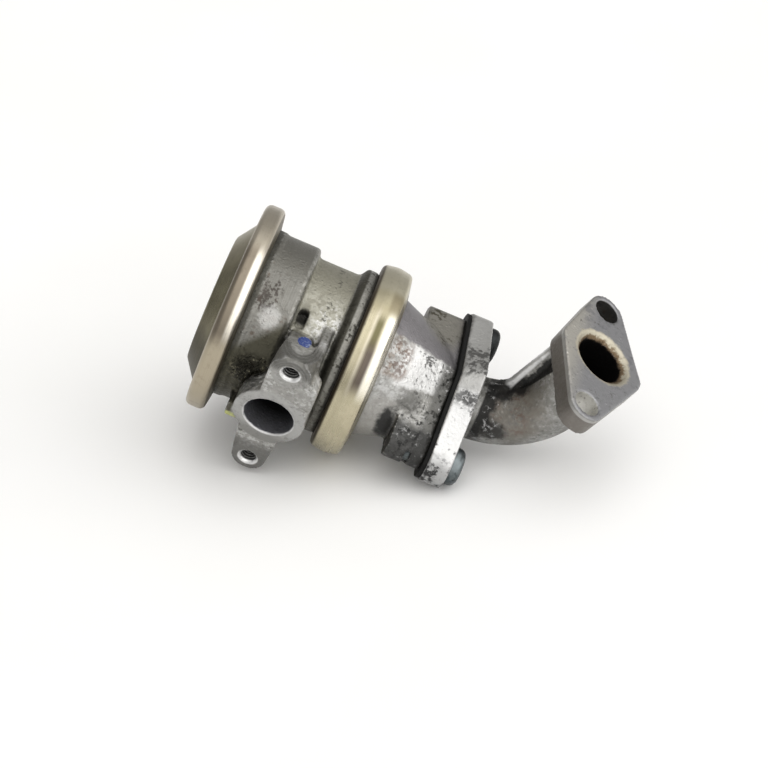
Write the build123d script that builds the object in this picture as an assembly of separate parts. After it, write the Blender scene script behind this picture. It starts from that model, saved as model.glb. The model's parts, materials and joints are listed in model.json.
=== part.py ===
from build123d import *
import os
from math import asin, cos, hypot, radians, sin, sqrt, tan

# Air shut-off and check valve with its outlet elbow. Millimetres.
#
# The valve is drawn about its own axis, +X, from the diaphragm cover to the elbow, with x = 0 on the
# outer face of the cover's rim. The inlet port points along -Y and its two screw holes lie above and
# below it along Z. At the end every piece is moved so that the origin is on the outlet face, midway
# between its two holes.
#
# Air enters the inlet chamber. A hollow stem lets its pressure into the room under the cover, which
# pushes the diaphragm, the stem and the valve disc along +X, off the seat. The air then passes the two
# reed petals of the check valve and leaves through the elbow. The spring brings the disc back.

# ---------------------------------------------------------------- clearances
CRIMP_GAP = 0.08          # between a rolled sheet lip and the flanges that it holds
SEAT_GAP = 0.02           # radial, between pieces that are pressed or screwed together
RUN_GAP = 0.05            # radial, of the stem in its bush
SOFT_GAP = 0.3            # round the soft pieces
WALL_SINK = 0.5           # how far a form runs on inside the wall that it stands on

# ---------------------------------------------------------------- the radius that the others follow
BARREL_R = 28.0           # over the spring chamber

# ---------------------------------------------------------------- cover and diaphragm
SHEET = 1.2               # wall of the cover and of the joint ring
COVER_RISE = 4.9          # height of the cover's flat top over its rim
COVER_FOOT_R = BARREL_R - 0.2
COVER_TOP_R = COVER_FOOT_R - 6.9
RIM_R = BARREL_R + 7.0    # outside of the rolled rim
RIM_ROUND = 2.0
LIP_R = BARREL_R + 0.9    # free edge of the rolled lip
LIP_DROP = 0.9            # how far the lip leans over towards the rim
BEAD = 2.4                # clamped edge of the diaphragm
BEAD_STEP = 0.8           # between the cover's foot and the bead
MEMBRANE = 0.9            # its working wall
ROLL_DEPTH = 3.6          # its convolution
PLATE_R = BARREL_R - 11.0 # diaphragm plate and spring cup
PLATE_T = 1.2

# ---------------------------------------------------------------- upper housing
RIM_FLANGE = 2.4          # flange that the cover is rolled round
BARREL_END = 22.1
BARREL_ROUND = 1.5
SHOULDER_H = 0.5          # narrow step next to the rim
SHOULDER_END = 9.6
WAIST_R = BARREL_R - 2.9  # over the inlet chamber
COLLAR_R = BARREL_R       # bump before the joint ring
COLLAR_W = 5.2
COLLAR_RISE = 1.8         # length of its slope
SPRING_ROOM_R = BARREL_R - 2.6
SPRING_ROOM_DEPTH = 12.4
WEB = 2.5                 # wall between the spring chamber and the inlet chamber
INLET_ROOM_R = WAIST_R - 5.3
INLET_ROOM_LEN = 18.0
SEAT_WALL = 1.5           # wall that carries the valve seat
SEAT_R = 12.0             # way through the seat
SEAT_LIP = 1.0            # height of the seat's rim
SEAT_LIP_W = 1.4
VALVE_ROOM_R = COLLAR_R - 5.0
VALVE_ROOM_LEN = 8.8      # from the seat wall to the joint plane
JOINT_NECK_R = COLLAR_R - 0.7
JOINT_FLANGE = 3.3        # each cast flange in the joint ring
JOINT_FLANGE_R = COLLAR_R + 1.8
GUIDE_R = 8.5             # boss of the stem guide
GUIDE_START = 12.5
GUIDE_END = 24.6

# ---------------------------------------------------------------- inlet port
PORT_X = 26.8
PORT_FACE = BARREL_R + 8.6    # from the valve axis
PORT_BORE_R = 8.2
PORT_R = 11.9
PORT_ROUND = 0.5
SCREW_PITCH = 47.5
SCREW_TILT = 2.6          # degrees, the line of the screw holes against Z
SCREW_R = 2.5
SCREW_SINK_R = 3.6        # countersink at the mouth
SCREW_DEPTH = 13.0
EAR_R = 5.6               # round the lower screw hole
EAR_DEPTH = 12.1
EAR_FOOT = 11.7           # from the hole to the ear's foot on the collar
EAR_FOOT_R = 5.3
EAR_FOOT_OUT = 1.5        # the foot is wider than the tip by this on each side
EAR_BLEND = 2.5
BOSS_HALF = 6.9           # half width of the upper ear's boss, whose top is round
BOSS_TOP = 7.1            # over its screw hole
BOSS_ROUND = 6.7
BOSS_FOOT = 1.5           # under the screw hole, where the boss widens into the plate
PLATE_RIGHT = 10.4        # edge of the plate, from the screw hole
PLATE_STEP = 2.2          # height of its sloping shoulder
PLATE_DEPTH = 6.0
PLATE_CORNER = 1.5
ARM_TOP = 4.6             # arm that carries the upper ear: its top behind the plate, from the screw hole
ARM_RUN = 2.5             # slope between the plate's back and the arm
ARM_LEFT = 4.4            # its foot on the waist, from the screw hole
ARM_RIGHT = 1.7
ARM_FOOT_Y = 15.0
ARM_SINK = 3.0            # how far it runs on inside the waist
FIN_START = 4.6           # thin fin beside the arm, from its screw hole
FIN_T = 3.0
FIN_TOP = 4.0             # under the top of the ear
FIN_FOOT_Y = 11.0
LUG_W = 1.7               # locating lug on the side of the collar
LUG_H = 6.4
LUG_DROP = 8.0            # its middle, under the port axis
LUG_DEPTH = 7.0
LUG_SETBACK = 3.0
LUG_SINK = 1.0            # how far it runs on inside the collar

# ---------------------------------------------------------------- vent of the spring chamber
VENT_R = 1.2
VENT_ANGLE = 28.0         # degrees from Z towards the port
VENT_AXIS_R = WAIST_R - 1.8
WINDOW_W = 3.0
WINDOW_SPAN = 6.0
WINDOW_DEPTH = 5.7        # its floor, under the top of the waist
WINDOW_SHIFT = 1.0        # its middle beside the vent's, towards the port, and its start behind the barrel

# ---------------------------------------------------------------- moving valve
STEM_R = 3.0
STEM_THREAD_R = 2.5
STEM_BORE_R = 1.25
CROSS_HOLE_R = 1.0
NUT_AF = 8.0
NUT_H = 3.0
THREAD_SPARE = 0.4        # thread that stands out of each nut
SEAL_R = 15.0
SEAL_T = 1.8
DISC_R = 15.6
DISC_T = 1.2
STROKE = 5.0              # travel of the disc, which the cage ends
SPRING_R = 12.0
SPRING_WIRE_R = 0.65
SPRING_TURNS = 3.5
SPRING_WASHER_T = 0.8
CUP_SKIRT = 4.2
BUSH_R = 5.0
BUSH_LEN = 8.0
LIP_SEAL_R = 6.2
LIP_SEAL_T = 2.0
RETAINER_T = 0.8

# ---------------------------------------------------------------- joint ring and check valve
RING_LIP_R = JOINT_NECK_R + 0.3
RING_R = JOINT_FLANGE_R + 2.5
RING_ROUND = 1.8
RING_CROWN = 0.9          # how much higher the ring is at mid width
RING_END_R = JOINT_FLANGE_R - 5.4
RING_END_LEAN = 1.3
O_RING_R = 0.9
O_RING_MEAN_R = VALVE_ROOM_R + 2.6
CAGE_T = 1.0
CAGE_DEPTH = 7.4
CAGE_R = VALVE_ROOM_R - 3.7
REED_T = 0.3
REED_R = CAGE_R - 2.1
STRIP_HALF = 2.6
PORTHOLE_EDGE = 5.0       # way through the cage, from the middle line
PORTHOLE_R = REED_R - 2.6
PETAL_OPEN = 16.0         # degrees
STOP_T = 1.0
STOP_ANGLE = 18.0         # degrees
STOP_HALF_W = 9.0
RIVET_R = 1.5
RIVET_HEAD_R = 2.6
RIVET_HEAD_H = 1.4

# ---------------------------------------------------------------- lower housing, gasket and elbow
FUNNEL_R = RING_END_R - 0.6
FUNNEL_STEP = 2.2         # round step between the ring and the funnel
LOWER_ROOM_R = CAGE_R + 0.9
LOWER_ROOM_LEN = 10.6
FUNNEL_LEN = 10.0
NECK_LEN = 7.4            # straight way from the funnel to the gasket
GASKET_T = 1.2
GASKET_INSET = 0.6        # its edge inside the flange's edge
JOINT_TILT = 3.3          # degrees, the bolted joint's face against the axis, along the line of the bolts
JOINT_LEAN = 4.5          # and across that line
OUTLET_BORE_R = 8.2
BOLT_REACH = JOINT_FLANGE_R - 5.8     # bolts of the elbow, from the centre
BOLT_LINE = 83.0          # degrees from Z away from the port
NARROW_W = 14.0           # half width of the funnel's end
NARROW_CORNER = 4.0
NARROW_REACH = BOLT_REACH - 9.0   # ends of the funnel's narrow outline, from the centre
EAR_BLOCK = 12.7          # length of the bolt ears of the funnel
EAR_BLOCK_R = 5.2
EAR_GROOVE = 1.6
EAR_GROOVE_DEPTH = 2.2
EAR_PLATE = 4.6
ELBOW_FLANGE = 7.6
ELBOW_EAR_R = 8.2
ELBOW_HALF_FRONT = 16.5   # half width of the elbow's flange at the gasket
ELBOW_HALF_BACK = 19.8    # and at its back
ELBOW_CORNER = 9.0        # rounding of its side corners
TUBE_R = 10.6
BEND_R = 27.0
BEND_ANGLE = 72.4         # degrees
BEND_ROLL = 10.5          # degrees from Z away from the port
STRAIGHT = 21.7           # from the end of the bend to the outlet face
OUTLET_FLANGE = 7.9
OUTLET_EAR_R = 6.4
OUTLET_HALF = 15.6
OUTLET_CORNER = 7.0
OUTLET_PITCH = 46.8
OUTLET_SHIFT = 2.0        # middle of the outlet's holes beside the bore, on the inner side of the bend
OUTLET_OFFSET = 1.3       # and along their line, towards the port's side
OUTLET_TILT = 2.0         # degrees, that line against the flange
OUTLET_HOLE_R = 4.4
OUTLET_SINK_R = 10.3
OUTLET_SINK = 1.6
RIB_T = 2.8
RIB_FOOT = 10.5           # height of the rib at the elbow's flange, over the bend's axis
RIB_H = 14.8              # and at its corner
RIB_OUT = 15.0            # its outer edge from the straight end of the tube
RIB_OUT_TOP = 14.1        # and at the outlet
RIB_BLEND = 5.0
BOLT_R = 4.0
BOLT_LEN = 18.0           # under the head
BOLT_SPARE = 0.5          # room under its tip
BOLT_HOLE_R = 4.5
BOLT_HEAD_R = 6.3
BOLT_HEAD_H = 4.0
BOLT_HEAD_ROUND = 2.2
BOLT_SOCKET_AF = 6.0
BOLT_SOCKET_DEPTH = 2.4

# ---------------------------------------------------------------- places along the axis
rim_flange_x = SHEET + BEAD
rim_back_x = rim_flange_x + RIM_FLANGE
web_x = rim_flange_x + SPRING_ROOM_DEPTH
inlet_x = web_x + WEB
seat_wall_x = inlet_x + INLET_ROOM_LEN
valve_room_x = seat_wall_x + SEAT_WALL
seat_x = valve_room_x + SEAT_LIP
joint_x = valve_room_x + VALVE_ROOM_LEN
joint_back_x = joint_x - JOINT_FLANGE
cage_x = joint_x + CAGE_T
lower_flange_end = cage_x + JOINT_FLANGE
cage_end = joint_x + CAGE_DEPTH
reed_x = cage_end + REED_T
membrane_x = rim_flange_x - BEAD / 2 - MEMBRANE / 2
cup_x = membrane_x + MEMBRANE
spring_x = cup_x + PLATE_T
disc_x = seat_x + SEAL_T
stem_end = disc_x + DISC_T + NUT_H + THREAD_SPARE
stem_start = membrane_x - PLATE_T - NUT_H - THREAD_SPARE
funnel_x = lower_flange_end + FUNNEL_STEP
room_end_x = cage_x + LOWER_ROOM_LEN
gasket_x = room_end_x + FUNNEL_LEN + NECK_LEN
bend_x = gasket_x + GASKET_T + ELBOW_FLANGE
front_y = -PORT_FACE


# ---------------------------------------------------------------- drawing helpers
def turned(*corners):
    """Solid of revolution about the valve axis. A corner is (x, radius) or (x, radius, rounding)."""
    points = [(c[0], c[1]) for c in corners]
    radii = [c[2] if len(c) == 3 else 0 for c in corners]
    return revolve(make_face(FilletPolyline(*points, radius=radii, close=True)), Axis.X)


def drum(start, end, outer, inner=0):
    """Plain disc or ring about the valve axis."""
    return turned((start, inner), (start, outer), (end, outer), (end, inner))


def pressing(wall, *corners):
    """Turned sheet piece. The corners (x, radius, rounding) run along its outer side, and the wall is
    set off to the right of that path."""
    points = [Vector(c[0], c[1]) for c in corners]
    outer_r = [c[2] if len(c) == 3 else 0 for c in corners][1:-1]
    steps = [(b - a).normalized() for a, b in zip(points, points[1:])]
    sides = [Vector(s.Y, -s.X) for s in steps]
    inner = [points[0] + sides[0] * wall]
    for here, before, after in zip(points[1:-1], sides, sides[1:]):
        inner.append(here + (before + after) * (wall / (1 + before.dot(after))))
    inner.append(points[-1] + sides[-1] * wall)
    inner_r = []
    for radius, before, after in zip(outer_r, steps, steps[1:]):
        turns_right = before.cross(after).Z < 0
        inner_r.append(0 if radius == 0 else max(radius - wall, 0.2) if turns_right else radius + wall)
    radii = [0, *outer_r, 0, 0, *reversed(inner_r), 0]
    return revolve(make_face(FilletPolyline(*points, *reversed(inner), radius=radii, close=True)), Axis.X)


def polar(radius, angle, x=0.0):
    """Point at an angle in degrees from Z away from the port."""
    return Vector(x, radius * sin(radians(angle)), radius * cos(radians(angle)))


def hull_corners(*circles):
    """Rounded corners of the outline that a tight belt makes round circles (x, y, radius), listed
    anticlockwise: (start, middle, end) of each arc."""
    sides = []
    for (xa, ya, ra), (xb, yb, rb) in zip(circles, circles[1:] + circles[:1]):
        span = hypot(xb - xa, yb - ya)
        along = Vector((xb - xa) / span, (yb - ya) / span)
        lean = (ra - rb) / span
        sides.append(along * lean + Vector(along.Y, -along.X) * sqrt(1 - lean * lean))
    corners = []
    for (x, y, radius), arriving, leaving in zip(circles, sides[-1:] + sides[:-1], sides):
        outward = (arriving + leaving).normalized()
        corners.append(tuple(Vector(x, y) + side * radius for side in (arriving, outward, leaving)))
    return corners


def belt(corners):
    """Face inside rounded corners joined by straight sides."""
    edges = []
    for (start, middle, end), following in zip(corners, corners[1:] + corners[:1]):
        edges.append(ThreePointArc(start, middle, end))
        edges.append(Line(end, following[0]))
    return make_face(edges)


def round_belt(corners, radius):
    """Circle cut into the same number of edges as a belt, at the same angles."""
    def out(point):
        return point.normalized() * radius
    edges = []
    for (start, middle, end), following in zip(corners, corners[1:] + corners[:1]):
        edges.append(ThreePointArc(out(start), out(middle), out(end)))
        edges.append(ThreePointArc(out(end), out((end + following[0]) / 2), out(following[0])))
    return make_face(edges)


def two_bolt_corners(ear_r, half_width, corner_r, reach=BOLT_REACH):
    """Outline of a flange with two bolt ears on its local x axis and a rounded corner on each side."""
    centre = half_width - corner_r
    return hull_corners((reach, 0, ear_r), (0, centre, corner_r), (-reach, 0, ear_r), (0, -centre, corner_r))


def across(x):
    """Plane across the valve axis, with its local x along the line of the elbow's bolts."""
    return Plane((x, 0, 0), x_dir=polar(1, BOLT_LINE), z_dir=(1, 0, 0))


def joint_plane(height):
    """Plane parallel to the bolted joint's face, at a height over the lower housing, with its local x
    along the line of the bolts."""
    face = across(gasket_x) * Rot(Y=JOINT_TILT) * Rot(X=JOINT_LEAN)
    return Plane(face * Pos(0, 0, height))


def hexagon(plane, across_flats, height):
    return extrude(plane * RegularPolygon(across_flats / sqrt(3), 6), height)


# ---------------------------------------------------------------- cover, diaphragm and stem group
def diaphragm_cover():
    back = rim_back_x + CRIMP_GAP + SHEET
    return pressing(
        SHEET, (-COVER_RISE, 0), (-COVER_RISE, COVER_TOP_R, 2.0), (0, COVER_FOOT_R, 2.0),
        (0, RIM_R, RIM_ROUND), (back - LIP_DROP, RIM_R, RIM_ROUND), (back, LIP_R))


def diaphragm():
    """Clamped bead, one roll that hangs into the spring chamber and a flat middle."""
    left, right = membrane_x, membrane_x + MEMBRANE
    bead_r = RIM_R - SHEET - SOFT_GAP
    inner_r, outer_r = PLATE_R + SOFT_GAP, SPRING_ROOM_R - SOFT_GAP
    bead_in = COVER_FOOT_R + BEAD_STEP
    round_out = (outer_r - inner_r) / 2 - 0.1
    depth = max(ROLL_DEPTH, round_out)
    edge = RIM_ROUND - 0.6
    return turned(
        (left, STEM_THREAD_R + SOFT_GAP), (left, inner_r + MEMBRANE, 0.5),
        (left + depth, inner_r + MEMBRANE, round_out - MEMBRANE),
        (left + depth, outer_r - MEMBRANE, round_out - MEMBRANE), (left, outer_r - MEMBRANE, 0.5),
        (left, bead_in), (SHEET, bead_in + 1.0), (SHEET, bead_r, edge), (rim_flange_x, bead_r, 0.6),
        (rim_flange_x, bead_in), (right, COVER_FOOT_R), (right, outer_r, 0.5), (right + depth, outer_r, round_out),
        (right + depth, inner_r, round_out), (right, inner_r, 0.5), (right, STEM_THREAD_R + SOFT_GAP))


def diaphragm_plate():
    return turned(
        (membrane_x - PLATE_T, STEM_THREAD_R + SEAT_GAP), (membrane_x - PLATE_T, PLATE_R, 0.8),
        (membrane_x, PLATE_R), (membrane_x, STEM_THREAD_R + SEAT_GAP))


def spring_cup():
    """Plate on the spring side, with a skirt that guides the roll."""
    return pressing(
        PLATE_T, (cup_x, STEM_THREAD_R + SEAT_GAP), (cup_x, PLATE_R, 1.6), (cup_x + PLATE_T + CUP_SKIRT, PLATE_R))


def stem_nut(start):
    """Hexagon nut with its corners turned down on the free side."""
    body = hexagon(Plane.YZ.offset(start), NUT_AF, NUT_H)
    blank = turned((start, 0), (start, NUT_AF * 0.57, 0.4), (start + NUT_H, NUT_AF * 0.57, 0.4), (start + NUT_H, 0))
    return body & blank - drum(start, start + NUT_H, STEM_THREAD_R + SEAT_GAP)


def stem_top_nut():
    return stem_nut(membrane_x - PLATE_T - NUT_H)


def valve_nut():
    return stem_nut(disc_x + DISC_T)


def valve_stem():
    """Turned stem, threaded at both ends, with a bore that carries pressure from the inlet chamber."""
    stem = turned(
        (stem_start, 0), (stem_start, STEM_THREAD_R - 0.4), (stem_start + 0.4, STEM_THREAD_R),
        (spring_x, STEM_THREAD_R), (spring_x, STEM_R), (disc_x, STEM_R), (disc_x, STEM_THREAD_R),
        (stem_end - 0.4, STEM_THREAD_R), (stem_end, STEM_THREAD_R - 0.4), (stem_end, 0))
    cross_hole = Plane.XZ * Pos(PORT_X, 0) * Circle(CROSS_HOLE_R)
    return (stem - drum(stem_start, PORT_X + CROSS_HOLE_R, STEM_BORE_R)
            - extrude(cross_hole, STEM_R + 1, both=True))


def return_spring():
    length = web_x - SPRING_WASHER_T - spring_x
    start = spring_x + SPRING_WIRE_R + 0.05
    pitch = (length - 2 * SPRING_WIRE_R - 0.1) / SPRING_TURNS
    path = Helix(pitch, pitch * SPRING_TURNS, SPRING_R, center=(start, 0, 0), direction=(1, 0, 0))
    wire = Plane(origin=path @ 0, z_dir=path % 0) * Circle(SPRING_WIRE_R)
    return sweep(wire, path=path, is_frenet=True)


def spring_seat_washer():
    half = SPRING_WIRE_R + 1.2
    return drum(web_x - SPRING_WASHER_T, web_x, SPRING_R + half, SPRING_R - half)


def guide_bush():
    return turned(
        (GUIDE_START, STEM_R + RUN_GAP), (GUIDE_START, BUSH_R - SEAT_GAP, 0.3),
        (GUIDE_START + BUSH_LEN, BUSH_R - SEAT_GAP, 0.3), (GUIDE_START + BUSH_LEN, STEM_R + RUN_GAP))


def stem_seal():
    """Lip seal in the mouth of the guide boss: a ring with a groove behind its lip."""
    start = GUIDE_END - RETAINER_T - LIP_SEAL_T
    end = start + LIP_SEAL_T
    bore = STEM_R + RUN_GAP
    mid = (bore + LIP_SEAL_R) / 2
    return turned(
        (start, bore), (start, LIP_SEAL_R - SEAT_GAP), (end, LIP_SEAL_R - SEAT_GAP), (end, mid + 0.7),
        (end - 1.1, mid + 0.3), (end - 1.1, mid - 0.3), (end, mid - 0.7), (end, bore))


def seal_retainer():
    return drum(GUIDE_END - RETAINER_T, GUIDE_END, LIP_SEAL_R - SEAT_GAP, STEM_R + 0.6)


def valve_seal():
    """Flat rubber ring on the disc."""
    return turned(
        (seat_x, SEAT_R - 1.2, 0.4), (seat_x, SEAL_R, 0.5), (disc_x, SEAL_R), (disc_x, SEAT_R - 1.2))


def valve_disc():
    """Pressed disc with a stiffening bead."""
    bore, bead = STEM_THREAD_R + SEAT_GAP, 7.5
    return turned(
        (disc_x, bore), (disc_x, bead - 1.6), (disc_x + 0.8, bead, 1.2), (disc_x, bead + 1.6), (disc_x, DISC_R, 0.5),
        (disc_x + DISC_T, DISC_R, 0.5), (disc_x + DISC_T, bead + 1.9), (disc_x + DISC_T + 0.8, bead, 2.0),
        (disc_x + DISC_T, bead - 1.9), (disc_x + DISC_T, bore))


# ---------------------------------------------------------------- upper housing
def screw_hole(side):
    """Centre of a port screw hole: side +1 for the upper one, -1 for the lower one."""
    half = side * SCREW_PITCH / 2
    return PORT_X + half * sin(radians(SCREW_TILT)), half * cos(radians(SCREW_TILT))


def rounded_polygon(plane, *corners):
    """Face from corners (x, y) or (x, y, rounding)."""
    points = [(c[0], c[1]) for c in corners]
    radii = [c[2] if len(c) == 3 else 0 for c in corners]
    return plane * make_face(FilletPolyline(*points, radius=radii, close=True))


def housing_shell():
    """Outside of the casting, turned."""
    flange_r = RIM_R - SHEET - CRIMP_GAP
    collar_x = joint_back_x - COLLAR_W - COLLAR_RISE
    return turned(
        (rim_flange_x, 0), (rim_flange_x, flange_r, 0.4), (rim_back_x - LIP_DROP, flange_r, 0.4), (rim_back_x, LIP_R),
        (rim_back_x, BARREL_R + SHOULDER_H), (SHOULDER_END, BARREL_R + SHOULDER_H, 0.4),
        (SHOULDER_END + 0.6, BARREL_R), (BARREL_END, BARREL_R, BARREL_ROUND), (BARREL_END, WAIST_R, 0.8),
        (collar_x, WAIST_R, 1.0), (collar_x + COLLAR_RISE, COLLAR_R, 1.2), (collar_x + COLLAR_W, COLLAR_R, 0.5),
        (collar_x + COLLAR_W, JOINT_NECK_R, 0.3), (joint_back_x, JOINT_NECK_R), (joint_back_x, JOINT_FLANGE_R, 0.8),
        (joint_x, JOINT_FLANGE_R), (joint_x, 0))


def housing_rooms():
    """Spring chamber, inlet chamber, seat and valve chamber, as one tool."""
    spring_room = turned(
        (rim_flange_x, 0), (rim_flange_x, SPRING_ROOM_R + 0.8), (web_x, SPRING_ROOM_R, 1.5), (web_x, 0))
    inlet_room = turned(
        (inlet_x, 0), (inlet_x, INLET_ROOM_R, 1.5), (seat_wall_x, INLET_ROOM_R, 1.5), (seat_wall_x, 0))
    valve_room = turned(
        (seat_wall_x, 0), (seat_wall_x, SEAT_R), (seat_x, SEAT_R), (seat_x, SEAT_R + SEAT_LIP_W),
        (valve_room_x, SEAT_R + SEAT_LIP_W + 0.5), (valve_room_x, VALVE_ROOM_R, 1.2),
        (joint_x, VALVE_ROOM_R + 0.4), (joint_x, 0))
    return spring_room + inlet_room + valve_room


def guide_boss():
    """Boss of the stem guide, on both sides of the web."""
    return turned(
        (GUIDE_START, 0), (GUIDE_START, GUIDE_R, 0.5), (web_x + WEB / 2, GUIDE_R + 0.7), (GUIDE_END, GUIDE_R, 0.5),
        (GUIDE_END, 0))


def guide_tool():
    """Bores for the bush, the stem and the lip seal."""
    return (drum(GUIDE_START, GUIDE_END, STEM_R + 0.8) + drum(GUIDE_START, GUIDE_START + BUSH_LEN, BUSH_R)
            + drum(GUIDE_END - RETAINER_T - LIP_SEAL_T, GUIDE_END, LIP_SEAL_R))


def o_ring_groove():
    half = O_RING_R + 0.1
    depth = 2 * O_RING_R + 0.1
    return drum(joint_x - depth, joint_x, O_RING_MEAN_R + half, O_RING_MEAN_R - half)


def port_collar():
    face = Plane.XZ.offset(PORT_FACE) * Pos(PORT_X, 0)
    collar = extrude(face * Circle(PORT_R), -(PORT_FACE - INLET_ROOM_R / 2))
    return fillet(collar.edges().sort_by(Axis.Y)[0], PORT_ROUND)


def lower_ear():
    """Ear of the lower screw: straight on the outer side, blended into the collar on the other."""
    x, z = screw_hole(-1)
    plane = Plane.XZ.offset(PORT_FACE)
    foot_z = z + EAR_FOOT
    outline = belt(hull_corners(
        (x, z, EAR_R), (x + EAR_FOOT_OUT, foot_z, EAR_FOOT_R), (x - EAR_FOOT_OUT, foot_z, EAR_FOOT_R)))
    blank = outline + Pos(PORT_X, 0) * Circle(PORT_R)
    inner_corner = blank.vertices().filter_by(lambda v: v.X > x and v.Y < 0).sort_by(Axis.X)[-1]
    return extrude(plane * fillet(inner_corner, EAR_BLEND), -EAR_DEPTH)


def upper_ear():
    """Ear of the upper screw with the arm that slopes down to the waist: the part that the front, side
    and top outlines have in common."""
    x, z = screw_hole(1)
    left, boss_right, right, top = x - BOSS_HALF, x + BOSS_HALF, x + PLATE_RIGHT, z + BOSS_TOP
    back_y, foot_y, inner_y = front_y + PLATE_DEPTH, -ARM_FOOT_Y, ARM_SINK - ARM_FOOT_Y
    foot_z, inner_z = sqrt(WAIST_R ** 2 - foot_y ** 2) - WALL_SINK, sqrt(WAIST_R ** 2 - foot_y ** 2) - ARM_SINK
    front = extrude(rounded_polygon(
        Plane.XZ.offset(PORT_FACE), (left, 0), (left, top, BOSS_ROUND), (boss_right, top, BOSS_ROUND),
        (boss_right, z - BOSS_FOOT, PLATE_CORNER), (right, z - BOSS_FOOT - PLATE_STEP, PLATE_CORNER), (right, 0)),
        front_y - inner_y)
    side = extrude(rounded_polygon(
        Plane.YZ, (front_y, 0), (front_y, top, PLATE_CORNER), (foot_y, foot_z), (inner_y, inner_z),
        (inner_y, 0)), 2 * PORT_X)
    above = extrude(rounded_polygon(
        Plane.XY, (left, front_y), (right, front_y), (right, back_y, PLATE_CORNER),
        (x + ARM_TOP, back_y + ARM_RUN, PLATE_CORNER), (x + ARM_RIGHT, foot_y), (x + ARM_RIGHT, inner_y),
        (x - ARM_LEFT, inner_y), (x - ARM_LEFT, foot_y)), 2 * PORT_FACE)
    return front & side & above


def arm_fin():
    """Thin fin beside the arm, with a pocket between them."""
    x, z = screw_hole(1)
    top = z + BOSS_TOP - FIN_TOP
    start_y = front_y + PLATE_DEPTH - WALL_SINK
    foot_z = sqrt(WAIST_R ** 2 - FIN_FOOT_Y ** 2)
    return extrude(rounded_polygon(
        Plane.YZ.offset(x + FIN_START), (start_y, 0), (start_y, top), (-FIN_FOOT_Y, foot_z), (-FIN_FOOT_Y, 0)), FIN_T)


def side_lug():
    inner = PORT_X - PORT_R * cos(asin(LUG_DROP / PORT_R)) + LUG_SINK
    outer = PORT_X - PORT_R - LUG_W
    return Pos((inner + outer) / 2, front_y + LUG_SETBACK + LUG_DEPTH / 2, -LUG_DROP) * Box(
        inner - outer, LUG_DEPTH, LUG_H)


def screw_tool(side):
    x, z = screw_hole(side)
    face = Plane.XZ.offset(PORT_FACE) * Pos(x, z)
    drill = extrude(face * Circle(SCREW_R), -SCREW_DEPTH)
    sink = SCREW_SINK_R - SCREW_R
    return drill + extrude(face * Circle(SCREW_SINK_R), -sink, taper=45)


def vent_tool():
    """Drilling from the spring chamber into a cast window in the waist."""
    axis = polar(VENT_AXIS_R, -VENT_ANGLE)
    drill = extrude(Plane.YZ.offset(web_x - 1) * Pos(axis.Y, axis.Z) * Circle(VENT_R), BARREL_END + WINDOW_W - web_x)
    window = Pos(BARREL_END + WINDOW_SHIFT + WINDOW_W / 2, axis.Y - WINDOW_SHIFT, WAIST_R) * Box(
        WINDOW_W, WINDOW_SPAN, 2 * WINDOW_DEPTH)
    return drill + window


def upper_housing():
    body = housing_shell() + port_collar() + lower_ear() + upper_ear() + arm_fin() + side_lug()
    port = extrude(Plane.XZ.offset(PORT_FACE) * Pos(PORT_X, 0) * Circle(PORT_BORE_R), -PORT_FACE)
    body = body - port - housing_rooms() + guide_boss()
    return body - guide_tool() - o_ring_groove() - vent_tool() - screw_tool(1) - screw_tool(-1)


# ---------------------------------------------------------------- joint ring and check valve
def crimp_ring():
    """Sheet ring rolled round the joint of the two housings."""
    start = joint_back_x - CRIMP_GAP - SHEET
    end = lower_flange_end + CRIMP_GAP + SHEET
    shoulder = RING_R - RING_CROWN
    return pressing(
        SHEET, (start, RING_LIP_R), (start, shoulder, RING_ROUND), ((start + end) / 2, RING_R, 8.0),
        (end, shoulder, RING_ROUND), (end + RING_END_LEAN, RING_END_R))


def housing_seal():
    centre = joint_x - O_RING_R - 0.05
    return revolve(Pos(centre, O_RING_MEAN_R) * Circle(O_RING_R), Axis.X)


def chord_room(radius, edge, start, end, side):
    """Part of a disc about the axis that lies beyond a chord parallel to Y."""
    disc = drum(start, end, radius)
    half = Box(end - start + 2, 2 * radius + 2, radius)
    return disc & Pos((start + end) / 2, 0, side * (edge + radius / 2)) * half


def check_valve_cage():
    """Pressed cup with two ways through its floor, which the reed petals close."""
    cup = pressing(
        CAGE_T, (cage_end - CAGE_T, 0), (cage_end - CAGE_T, CAGE_R - CAGE_T, 0.4), (joint_x, CAGE_R - CAGE_T, 1.0),
        (joint_x, JOINT_FLANGE_R))
    for side in (-1, 1):
        cup -= chord_room(PORTHOLE_R, PORTHOLE_EDGE, cage_end - CAGE_T - 1, cage_end + 1, side)
    return cup - drum(cage_end - CAGE_T - 1, cage_end + 1, RIVET_R + SEAT_GAP)


def reed_strip():
    strip = drum(cage_end, reed_x, REED_R) & Pos(cage_end, 0, 0) * Box(
        4 * REED_T, 2 * REED_R, 2 * STRIP_HALF)
    return strip - drum(cage_end, reed_x, RIVET_R + SEAT_GAP)


def reed_petal(side):
    return chord_room(REED_R, STRIP_HALF, cage_end, reed_x, side)


def reed_stop():
    """Plate over the reeds whose two wings are bent up to end the petals' travel."""
    half_w, tip = STOP_HALF_W, REED_R - 1.2
    rise = (tip - STRIP_HALF) * tan(radians(STOP_ANGLE))
    lift = STOP_T / cos(radians(STOP_ANGLE))
    section = [(reed_x, -STRIP_HALF), (reed_x, STRIP_HALF), (reed_x + rise, tip), (reed_x + rise + lift, tip),
               (reed_x + STOP_T, STRIP_HALF), (reed_x + STOP_T, -STRIP_HALF), (reed_x + rise + lift, -tip),
               (reed_x + rise, -tip)]
    plate = extrude(Plane.XZ * make_face(Polyline(*section, close=True)), half_w, both=True)
    return plate - drum(reed_x - 1, reed_x + STOP_T + 1, RIVET_R + SEAT_GAP)


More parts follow.
